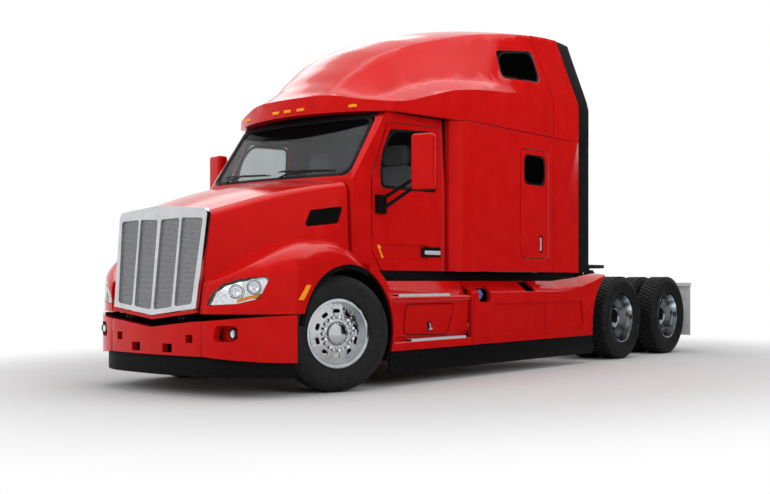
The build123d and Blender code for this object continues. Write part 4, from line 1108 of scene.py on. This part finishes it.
def patchOn(work, node, corners, side):
    # a four-cornered patch in (x, z), laid on a side of the truck
    a, b, c, d = (Vector(p) for p in corners)
    n, m = markers["cuts"]
    grids = []
    for rise in markers["rises"]:
        grid = []
        for i in range(n + 1):
            left, right = a.lerp(d, i / n), b.lerp(c, i / n)
            spots = [fromSide(node, *left.lerp(right, j / m), side)[0] for j in range(m + 1)]
            grid.append([work.verts.new(spot + Vector((0, side * rise, 0))) for spot in spots])
        grids.append(grid)
    top, low = grids
    for i in range(n):
        for j in range(m):
            work.faces.new((top[i][j], top[i][j + 1], top[i + 1][j + 1], top[i + 1][j]))
            work.faces.new((low[i][j], low[i + 1][j], low[i + 1][j + 1], low[i][j + 1]))
    rim = [(i, 0) for i in range(n)] + [(n, j) for j in range(m)]
    rim += [(i, m) for i in range(n, 0, -1)] + [(0, j) for j in range(m, 0, -1)]
    for (i, j), (p, q) in zip(rim, rim[1:] + rim[:1]):
        work.faces.new((top[i][j], top[p][q], low[p][q], low[i][j]))


work = bmesh.new()
for side in bothSides:
    patchOn(work, "hood", markers["fender"], side)
addPiece("fenderMarkers", meshOf("fenderMarkers", work, "amberLens"), "hood")
for name, side in signOf.items():
    work = bmesh.new()
    patchOn(work, f"door_{name}", markers["door"], side)
    addPiece(f"doorMarker.{name}", meshOf(f"doorMarker.{name}", work, "amberLens"), f"door_{name}")
print("side markers made")

# Rubber round the windows

seals = {
    # outline, corner radius and width; the windscreen's is in (y, z), the others in (x, z)
    "door": ([(-0.675, 1.838), (-1.474, 1.838), (-1.468, 2.430), (-0.890, 2.400), (-0.745, 2.235),
              (-0.685, 2.050)], 0.09, 0.030),
    "sleeper": ([(-2.830, 2.005), (-3.272, 2.005), (-3.272, 2.335), (-2.830, 2.335)], 0.16, 0.024),
    "roof": ([(-2.520, 3.085), (-3.215, 3.140), (-3.150, 3.490), (-2.570, 3.400)], 0.14, 0.024),
    "windscreen": ([(-0.925, 1.925), (0.925, 1.925), (0.900, 2.520), (-0.900, 2.520)], 0.13, 0.040),
}
sealFit = {"drawIn": 0.972, "cornerSteps": 8, "step": 0.05, "stand": 0.006, "lift": 0.005}


def windowSeal(name, kind, node, cast):
    outline, corner, width = seals[kind]
    loop = roundedLoop(outline, corner, sealFit["cornerSteps"])
    middle = sum(loop, Vector((0, 0))) / len(loop)
    loop = [middle + (p - middle) * sealFit["drawIn"] for p in loop]
    hits = found(cast(p) for p in evenly(loop, sealFit["step"], closed=True))
    hits = [(spot + normal * sealFit["stand"], normal) for spot, normal in hits]
    work = bmesh.new()
    ribbonIn(work, hits, width, sealFit["lift"], closed=True)
    addPiece(name, meshOf(name, work, "softRubber"), node)


def sideSeal(name, kind, node, side):
    windowSeal(name, kind, node, lambda p: fromSide(node, p.x, p.y, side))


for name, side in signOf.items():
    sideSeal(f"doorSeal.{name}", "door", f"door_glass_{name}", side)
    sideSeal(f"sleeperSeal.{name}", "sleeper", f"sleeper_door_glass_{name}", side)
    sideSeal(f"roofSeal.{name}", "roof", "roof_windows", side)
windowSeal("windscreenSeal", "windscreen", "windscreen", lambda p: frontHit("windscreen", p.x, p.y))
print("window seals made")

# Wipers parked at the foot of the windscreen

wiper = {
    "blades": ((0.74, 0.03), (-0.06, -0.77)),
    "low": 1.975,
    "rise": 0.030,
    "cuts": 12,
    # height over the glass and radius
    "rubber": (0.008, 0.006),
    "bridge": (0.018, 0.0075),
    "bladeSides": 6,
    "pivot": (0.92, 1.945),
    "armLifts": (0.012, 0.030, 0.024),
    "armKnee": 0.35,
    "armRadius": 0.009,
    "armSides": 8,
    "smooth": 50,
}


def wipers():
    work = bmesh.new()
    for blade in wiper["blades"]:
        shares = [k / wiper["cuts"] for k in range(wiper["cuts"] + 1)]
        points = [frontHit("windscreen", between(blade, t), wiper["low"] + wiper["rise"] * t) for t in shares]
        for (lift, radius), run in ((wiper["rubber"], points), (wiper["bridge"], points[1:-1])):
            tubeIn(work, [spot + normal * lift for spot, normal in run], radius, wiper["bladeSides"])
        middle, normal = points[wiper["cuts"] // 2]
        place, height = wiper["pivot"]
        foot, footNormal = frontHit("windscreen", between(blade, place), height)
        spots = (foot, foot.lerp(middle, wiper["armKnee"]), middle)
        facings = (footNormal, normal, normal)
        arm = [spot + facing * lift for spot, facing, lift in zip(spots, facings, wiper["armLifts"])]
        tubeIn(work, arm, wiper["armRadius"], wiper["armSides"])
    return meshOf("wipers", work, "blackTrim", angle=wiper["smooth"])


addPiece("wipers", wipers(), "windscreen")
print("wipers made")

# Rivet rows, grown along lines on the sleeper

rivets = {
    "spacing": 0.075,
    "size": 0.0065,
    "flatten": 0.45,
    "facets": (8, 5),
    "smooth": 50,
    "rows": [
        # start and end in (x, z), on both sides
        ((-3.405, 1.10), (-3.405, 2.53)),
        ((-1.95, 1.098), (-3.405, 1.098)),
        ((-1.95, 2.535), (-3.405, 2.535)),
    ],
}


def rivetRows():
    tree, ids, size, node, close = nodeTree("rivetRows", (
        ("Spacing", "Float"), ("Size", "Float"), ("Paint", "Material")))
    path = node("GeometryNodeMeshToCurve", {"Mesh": size["Geometry"]})
    spots = node("GeometryNodeResampleCurve", {
        "Curve": path.outputs[0], "Length": size["Spacing"]}, mode="LENGTH")
    segments, rings = rivets["facets"]
    head = node("GeometryNodeMeshUVSphere", {"Segments": segments, "Rings": rings, "Radius": size["Size"]})
    flat = node("GeometryNodeTransform", {
        "Geometry": head.outputs[0], "Scale": (1.0, rivets["flatten"], 1.0)})
    placed = node("GeometryNodeInstanceOnPoints", {"Points": spots.outputs[0], "Instance": flat.outputs[0]})
    close(placed.outputs[0], size["Paint"])
    lines = [[fromSide("sleeper_shell", x, z, side)[0] for x, z in row]
             for side in bothSides for row in rivets["rows"]]
    mesh = grown(tree, ids, {
        "Spacing": rivets["spacing"], "Size": rivets["size"], "Paint": finishes["redPaint"]},
        lineMesh("rivetLines", lines))
    smoothBy(mesh, rivets["smooth"])
    return mesh


addPiece("sleeperRivets", rivetRows(), "sleeper_shell")
print("rivets made")

# Thin dark joints between panels that are one solid in the CAD, or close up tight

joints = {
    "sides": [
        # node, and a line in (x, z)
        ("roof_cap", [(-1.74, 2.5665), (-3.43, 2.5665)]),
        ("side_extenders", [(-3.46, 2.5665), (-3.86, 2.5665)]),
        ("side_fairings", [(-3.30, 0.36), (-3.30, 0.835)]),
        ("side_fairings", [(-1.884, 0.335), (-1.888, 0.860)]),
    ],
    "sideStep": 0.05,
    "toolbox": [(-0.827, 0.749), (-1.597, 0.746), (-1.504, 0.445), (-0.805, 0.465)],
    "toolboxCorner": 0.06,
    "toolboxStep": 0.03,
    "bumperY": 0.598,
    "bumperFoot": 0.375,
    "bumperStep": 0.02,
    "bumperCount": 13,
    # width and lift of the strips
    "sideStrip": (0.006, 0.0012),
    "toolboxStrip": (0.009, 0.0015),
    "bumperStrip": (0.005, 0.0012),
}


def panelJoints():
    work = bmesh.new()
    for side in bothSides:
        for node, line in joints["sides"]:
            hits = found(fromSide(node, p.x, p.y, side) for p in evenly(line, joints["sideStep"]))
            ribbonIn(work, hits, *joints["sideStrip"])
        loop = roundedLoop(joints["toolbox"], joints["toolboxCorner"])
        loop = evenly(loop, joints["toolboxStep"], closed=True)
        hits = found(fromSide("side_fairings", p.x, p.y, side) for p in loop)
        ribbonIn(work, hits, *joints["toolboxStrip"], closed=True)
        heights = [joints["bumperFoot"] + joints["bumperStep"] * k for k in range(joints["bumperCount"])]
        hits = found(frontHit("bumper", side * joints["bumperY"], z) for z in heights)
        ribbonIn(work, hits, *joints["bumperStrip"])
    return meshOf("panelJoints", work, "darkVoid")


addPiece("panelJoints", panelJoints(), "roof_cap")
print("panel joints made")

# Serrated teeth and bright noses on the four steps

steps = {
    "pitch": 0.019,
    "tooth": (0.0075, 0.046, 0.007),
    "toothLift": 0.003,
    "nose": (0.007, 0.030),
    "noseY": 1.1905,
    "noseDrop": 0.008,
    "nosePast": 0.016,
    "noseEase": 0.002,
    "rows": [
        # first x, last x, middle y, top z
        (-0.700, -1.482, 1.158, 0.838),
        (-0.890, -1.752, 1.161, 0.417),
    ],
}


def stepTeeth():
    tree, ids, size, node, close = nodeTree("stepTeeth", (
        ("Pitch", "Float"), ("Tooth", "Vector"), ("Chrome", "Material")))
    path = node("GeometryNodeMeshToCurve", {"Mesh": size["Geometry"]})
    spots = node("GeometryNodeResampleCurve", {
        "Curve": path.outputs[0], "Length": size["Pitch"]}, mode="LENGTH")
    tooth = node("GeometryNodeMeshCube", {"Size": size["Tooth"]})
    placed = node("GeometryNodeInstanceOnPoints", {"Points": spots.outputs[0], "Instance": tooth.outputs[0]})
    close(placed.outputs[0], size["Chrome"])
    lines = [[(ahead(x), side * y, z + steps["toothLift"]) for x in ends]
             for side in bothSides for *ends, y, z in steps["rows"]]
    return grown(tree, ids, {
        "Pitch": steps["pitch"], "Tooth": steps["tooth"], "Chrome": finishes["satinTrim"]},
        lineMesh("stepLines", lines))


def stepNoses():
    work = bmesh.new()
    for side in bothSides:
        for x0, x1, _, z in steps["rows"]:
            middle = (ahead((x0 + x1) / 2), side * steps["noseY"], z - steps["noseDrop"])
            boxIn(work, Matrix.Translation(middle), (abs(x1 - x0) + steps["nosePast"], *steps["nose"]))
    bmesh.ops.bevel(
        work, geom=work.edges[:], offset=steps["noseEase"], segments=dressing["segments"], affect="EDGES")
    return meshOf("stepNoses", work, "satinTrim")


addPiece("stepTeeth", stepTeeth(), "step_treads")
addPiece("stepNoses", stepNoses(), "step_treads")
print("steps finished")

# Handles, latches and filler caps. Boxes are a shift from the handle's place, a size and an eased edge.

sleeperHandle = {
    "at": (-3.190, 1.183, 1.370),
    "boxes": [
        ((0, 0.006, 0), (0.022, 0.014, 0.150), 0.005),
        ((0, 0, 0.06), (0.016, 0.016, 0.02), 0.003),
        ((0, 0, -0.06), (0.016, 0.016, 0.02), 0.003),
    ],
}
doorHandle = {
    "at": (-1.390, 1.0385, 1.246),
    "tilt": 2.85,
    "plate": ((0, 0, 0), (0.285, 0.014, 0.100), 0.006),
    "bars": [
        ((0, 0.018, -0.006), (0.235, 0.016, 0.040), 0.006),
        ((-0.085, 0.010, -0.006), (0.030, 0.016, 0.024), 0.004),
        ((0.085, 0.010, -0.006), (0.030, 0.016, 0.024), 0.004),
    ],
}
toolboxLatch = {
    "at": (-1.205, 0.535),
    "stand": 0.002,
    "tilt": 12,
    "plate": ((0, 0, 0), (0.060, 0.010, 0.096), 0.004),
    "bars": [
        ((0, 0.010, -0.030), (0.060, 0.010, 0.014), 0.004),
        ((0, 0.010, 0.004), (0.014, 0.010, 0.056), 0.004),
    ],
}
fillerCap = {
    "at": (-2.085, 1.104, 0.826),
    "radius": 0.050,
    "steps": 32,
    "turned": [(0.0, 0), (0.0, 1), (0.026, 1), (0.034, 0.86), (0.034, 0)],
    "grip": ((0, 0.040, 0), (0.075, 0.016, 0.018), 0.005),
    "cup": ((-2.205, -1.972), (1.097, 1.105), (0.735, 0.926)),
    "smooth": 40,
}


def boxesOn(work, place, side, rows, look=0):
    for (x, y, z), size, ease in rows:
        easedBox(work, place @ Matrix.Translation((x, side * y, z)), size, ease, look)


for name, side in signOf.items():
    work = bmesh.new()
    x, y, z = sleeperHandle["at"]
    boxesOn(work, Matrix.Translation((ahead(x), side * y, z)), side, sleeperHandle["boxes"])
    mesh = meshOf(f"sleeperHandle.{name}", work, "satinTrim")
    addPiece(f"sleeperHandle.{name}", mesh, f"sleeper_door_{name}")
    work = bmesh.new()
    x, y, z = doorHandle["at"]
    tilt = Matrix.Rotation(math.radians(-side * doorHandle["tilt"]), 4, "Z")
    place = Matrix.Translation((ahead(x), side * y, z)) @ tilt
    boxesOn(work, place, side, [doorHandle["plate"]])
    boxesOn(work, place, side, doorHandle["bars"], look=1)
    mesh = meshOf(f"doorHandle.{name}", work, "blackTrim", "satinTrim")
    addPiece(f"doorHandle.{name}", mesh, f"door_{name}")


def sideFittings():
    work = bmesh.new()
    for side in bothSides:
        spot, _ = fromSide("side_fairings", *toolboxLatch["at"], side)
        place = Matrix.Translation(spot + Vector((0, side * toolboxLatch["stand"], 0)))
        place = place @ Matrix.Rotation(math.radians(toolboxLatch["tilt"]), 4, "Y")
        boxesOn(work, place, side, [toolboxLatch["plate"]])
        boxesOn(work, place, side, toolboxLatch["bars"], look=1)
        slabIn(work, fillerCap["cup"], side)
        x, y, z = fillerCap["at"]
        cap = Matrix.Translation((ahead(x), side * y, z))
        if side < 0:
            cap = cap @ Matrix.Rotation(math.pi, 4, "Z")
        lathe(work, turned(fillerCap["turned"], fillerCap["radius"]), fillerCap["steps"], cap, look=2)
        boxesOn(work, cap, 1, [fillerCap["grip"]], look=2)
    return meshOf("sideFittings", work, "blackTrim", "satinTrim", "blueCap", angle=fillerCap["smooth"])


addPiece("sideFittings", sideFittings(), "side_fairings")
print("handles and caps made")

# Black strips under the sleeper, and the black flange round the front arches

underStrips = [
    # ranges of x, y and z
    ((-4.30, -1.62), (1.000, 1.016), (1.040, 1.0605)),
    ((-4.45, -3.462), (1.000, 1.016), (1.040, 1.078)),
    ((-4.56, -4.25), (1.000, 1.016), (0.960, 1.050)),
]
archTrim = {
    "axle": 0.51,
    "turns": (8, 118),
    "cuts": 48,
    # radius and y of the section's corners
    "section": ((0.601, 1.196), (0.556, 1.192), (0.556, 1.186), (0.601, 1.172)),
}


def archFlanges():
    work = bmesh.new()
    for side in bothSides:
        rings = []
        for k in range(archTrim["cuts"] + 1):
            turn = math.radians(between(archTrim["turns"], k / archTrim["cuts"]))
            c, s = math.cos(turn), math.sin(turn)
            corners = [(ahead(r * c), side * y, archTrim["axle"] + r * s) for r, y in archTrim["section"]]
            rings.append([work.verts.new(p) for p in corners])
        skin(work, rings)
    return meshOf("archFlanges", work, "blackPlastic")


work = bmesh.new()
for side in bothSides:
    for spans in underStrips:
        slabIn(work, spans, side)
addPiece("underStrips", meshOf("underStrips", work, "blackPlastic"), "black_skirts")
addPiece("archFlanges", archFlanges(), "arch_liners")
print("under strips and arch flanges made")

# Mirror glass on the back of each mirror head

mirrorGlass = {"size": (0.004, 0.150, 0.440), "ease": 0.0015, "headFrom": 1.29, "backFacing": -0.95}
for side in signOf:
    node = f"mirror_{side}"
    back = [p for p in shapeOf(node).polygons
            if p.normal.x < mirrorGlass["backFacing"] and abs(p.center.y) > mirrorGlass["headFrom"]]
    middle = sum((p.center * p.area for p in back), Vector()) / sum(p.area for p in back)
    normal = back[0].normal.copy()
    across = Vector((0, 0, 1)).cross(normal).normalized()
    turn = Matrix((normal, across, Vector((0, 0, 1)))).transposed().to_4x4()
    work = bmesh.new()
    easedBox(work, Matrix.Translation(middle) @ turn, mirrorGlass["size"], mirrorGlass["ease"])
    addPiece(f"mirrorGlass.{side}", meshOf(f"mirrorGlass.{side}", work, "mirrorFace"), node)
print("mirror glass made")

# Seats: a base with a pad, a back and a head pad, each crowned and drawn in along its sides

seat = {
    "places": (0.520, -0.520),
    "base": ((-1.205, 1.265), (0.39, 0.44, 0.280)),
    "baseEase": 0.02,
    "pads": [
        # middle x and z, size, lean in degrees
        ((-1.180, 1.488), (0.500, 0.500, 0.145), 0),
        ((-1.425, 1.845), (0.135, 0.490, 0.580), 12),
        ((-1.500, 2.235), (0.110, 0.300, 0.205), 10),
    ],
    "cuts": 11,
    "roundness": 5,
    "drawIn": 0.05,
    "smooth": 60,
}


def padMesh(name, place, size):
    work = bmesh.new()
    bmesh.ops.create_cube(work, size=2.0)
    bmesh.ops.subdivide_edges(work, edges=work.edges[:], cuts=seat["cuts"], use_grid_fill=True)
    power = seat["roundness"]
    for v in work.verts:
        u = v.co / sum(abs(p) ** power for p in v.co) ** (1 / power)
        # the crown stands up in the middle, and the sides are drawn in between the corners
        u.x *= 1 - seat["drawIn"] * (1 - u.y ** 2) * (1 - abs(u.z))
        u.y *= 1 - seat["drawIn"] * (1 - u.x ** 2) * (1 - abs(u.z))
        v.co = place @ Vector(p * s / 2 for p, s in zip(u, size))
    return meshOf(name, work, "seatCloth", angle=seat["smooth"])


work = bmesh.new()
for y in seat["places"]:
    (x, z), size = seat["base"]
    easedBox(work, Matrix.Translation((ahead(x), y, z)), size, seat["baseEase"])
addPiece("seatBases", meshOf("seatBases", work, "blackPlastic"), "seats", instead="seats")
for s, y in enumerate(seat["places"]):
    for k, ((x, z), size, lean) in enumerate(seat["pads"]):
        place = Matrix.Translation((ahead(x), y, z)) @ Matrix.Rotation(math.radians(-lean), 4, "Y")
        name = f"seatPad{s}{k}"
        pad = addPiece(name, padMesh(name, place, size), "seats")
print("seats made")

# Floor, light and camera

studio = {
    "floorColor": (0.62, 0.62, 0.625),
    "floorDarker": 0.985,
    "floorRough": 0.8,
    "floorTone": {"scale": 2, "detail": 2},
    "floorHalf": 120,
    "fade": (0.72, 1.45),
    "fadeReach": (5.6, 4.2),
    "worldFill": 0.45,
    "softBoxes": [
        # name, place, target, size, energy, seen in what shines
        ("topBox", (0.5, 1.0, 9.0), (0, 0, 1.5), (12, 7), 480, True),
        ("sideBox", (1.0, 11.0, 5.0), (-0.5, 0, 1.6), (12, 5), 420, False),
        ("frontBox", (12.0, -1.0, 5.5), (3.5, 0, 1.2), (6, 5), 340, False),
        ("rimBox", (-2.5, -8.5, 9.0), (0.5, 0, 1.8), (11, 3), 190, True),
    ],
    # x from and to, y from and to, and the heights of the floor part and of the top
    "darkCard": ((-80.0, 0.5), (1.8, 9.0), (0.004, 14.0)),
    "camera": (6.891, 7.281, 0.967),
    "heading": 50.45,
    "sensor": 36,
    # focal length and shift of the photo's camera, in widths of the picture
    "focal": 1058.87 / 770,
    "shift": (0.001, 33.77 / 770),
    "clipEnd": 300,
}
white = (1, 1, 1, 1)


def makeFloor():
    mesh = bpy.data.meshes.new("studioFloor")
    half = studio["floorHalf"]
    corners = [(-half, -half, 0), (half, -half, 0), (half, half, 0), (-half, half, 0)]
    mesh.from_pydata(corners, [], [(0, 1, 2, 3)])
    floor = linked("studioFloor", mesh)
    mat, tree, shader = nodeMaterial("studioFloorPaint")
    tone = noiseOn(tree, **studio["floorTone"])
    low = tuple(studio["floorDarker"] * c for c in studio["floorColor"])
    wire(tree, shader, {
        "Base Color": ramp(tree, tone, low, studio["floorColor"]), "Roughness": studio["floorRough"],
        "Specular IOR Level": 0.0})
    # the floor is grey near the truck, a painted soft shadow round it as well as the real cast one, and away from
    # the truck it goes over into the white of the backdrop
    coord = addNode(tree, "ShaderNodeTexCoord")
    mapping = addNode(tree, "ShaderNodeMapping", {
        "Vector": coord.outputs["Object"], "Scale": (*(1 / reach for reach in studio["fadeReach"]), 1)})
    length = addNode(tree, "ShaderNodeVectorMath", {0: mapping.outputs["Vector"]}, operation="LENGTH")
    fade = addNode(tree, "ShaderNodeMapRange", {
        "Value": length.outputs["Value"], "From Min": studio["fade"][0], "From Max": studio["fade"][1]},
        interpolation_type="SMOOTHSTEP")
    backdrop = addNode(tree, "ShaderNodeEmission", {"Color": white})
    mix = addNode(tree, "ShaderNodeMixShader", {
        "Fac": fade.outputs["Result"], 1: shader.outputs[0], 2: backdrop.outputs[0]})
    wire(tree, tree.nodes["Material Output"], {"Surface": mix.outputs[0]})
    mesh.materials.append(mat)


def makeCard():
    # a dark card beside the truck and on the floor there, seen only in what shines
    ends, (near, far), (low, high) = studio["darkCard"]
    mesh = bpy.data.meshes.new("darkCard")
    rows = ((near, low), (far, low), (far, high))
    mesh.from_pydata([(x, y, z) for y, z in rows for x in ends], [], [(0, 1, 3, 2), (2, 3, 5, 4)])
    mesh.materials.append(finishes["darkVoid"])
    card = linked("darkCard", mesh)
    card.visible_camera = card.visible_diffuse = card.visible_shadow = card.visible_transmission = False


def makeWorld():
    # white where it is seen, also in metal and glass, and a weaker light elsewhere
    world = bpy.data.worlds.new("studioWorld")
    scene.world = world
    world.use_nodes = True
    tree = world.node_tree
    tree.nodes.clear()
    path = addNode(tree, "ShaderNodeLightPath").outputs
    glossOrGlass = addNode(tree, "ShaderNodeMath", {
        0: path["Is Glossy Ray"], 1: path["Is Transmission Ray"]}, operation="MAXIMUM")
    anySeen = addNode(tree, "ShaderNodeMath", {
        0: path["Is Camera Ray"], 1: glossOrGlass.outputs[0]}, operation="MAXIMUM")
    lit, seen = (addNode(tree, "ShaderNodeBackground", {"Color": white, "Strength": strength})
                 for strength in (studio["worldFill"], 1.0))
    mix = addNode(tree, "ShaderNodeMixShader", {
        "Fac": anySeen.outputs[0], 1: lit.outputs[0], 2: seen.outputs[0]})
    addNode(tree, "ShaderNodeOutputWorld", {"Surface": mix.outputs[0]})


def softBox(name, place, target, size, energy, mirrored):
    light = bpy.data.lights.new(name, "AREA")
    light.shape = "RECTANGLE"
    light.size, light.size_y = size
    light.energy = energy
    obj = linked(name, light)
    obj.visible_glossy = mirrored
    obj.location = place
    obj.rotation_euler = (Vector(target) - Vector(place)).to_track_quat("-Z", "Y").to_euler()


def makeCamera():
    data = bpy.data.cameras.new("photoCamera")
    data.sensor_width = studio["sensor"]
    data.lens = studio["focal"] * studio["sensor"]
    data.shift_x, data.shift_y = studio["shift"]
    data.clip_end = studio["clipEnd"]
    cam = linked("photoCamera", data)
    x, y, z = studio["camera"]
    cam.location = (ahead(x), y, z)
    turn = math.radians(studio["heading"])
    forward = Vector((-math.sin(turn), -math.cos(turn), 0))
    cam.rotation_euler = forward.to_track_quat("-Z", "Y").to_euler()
    scene.camera = cam


makeFloor()
makeCard()
makeWorld()
for row in studio["softBoxes"]:
    softBox(*row)
makeCamera()
scene.view_settings.view_transform = "Standard"
print("studio ready")
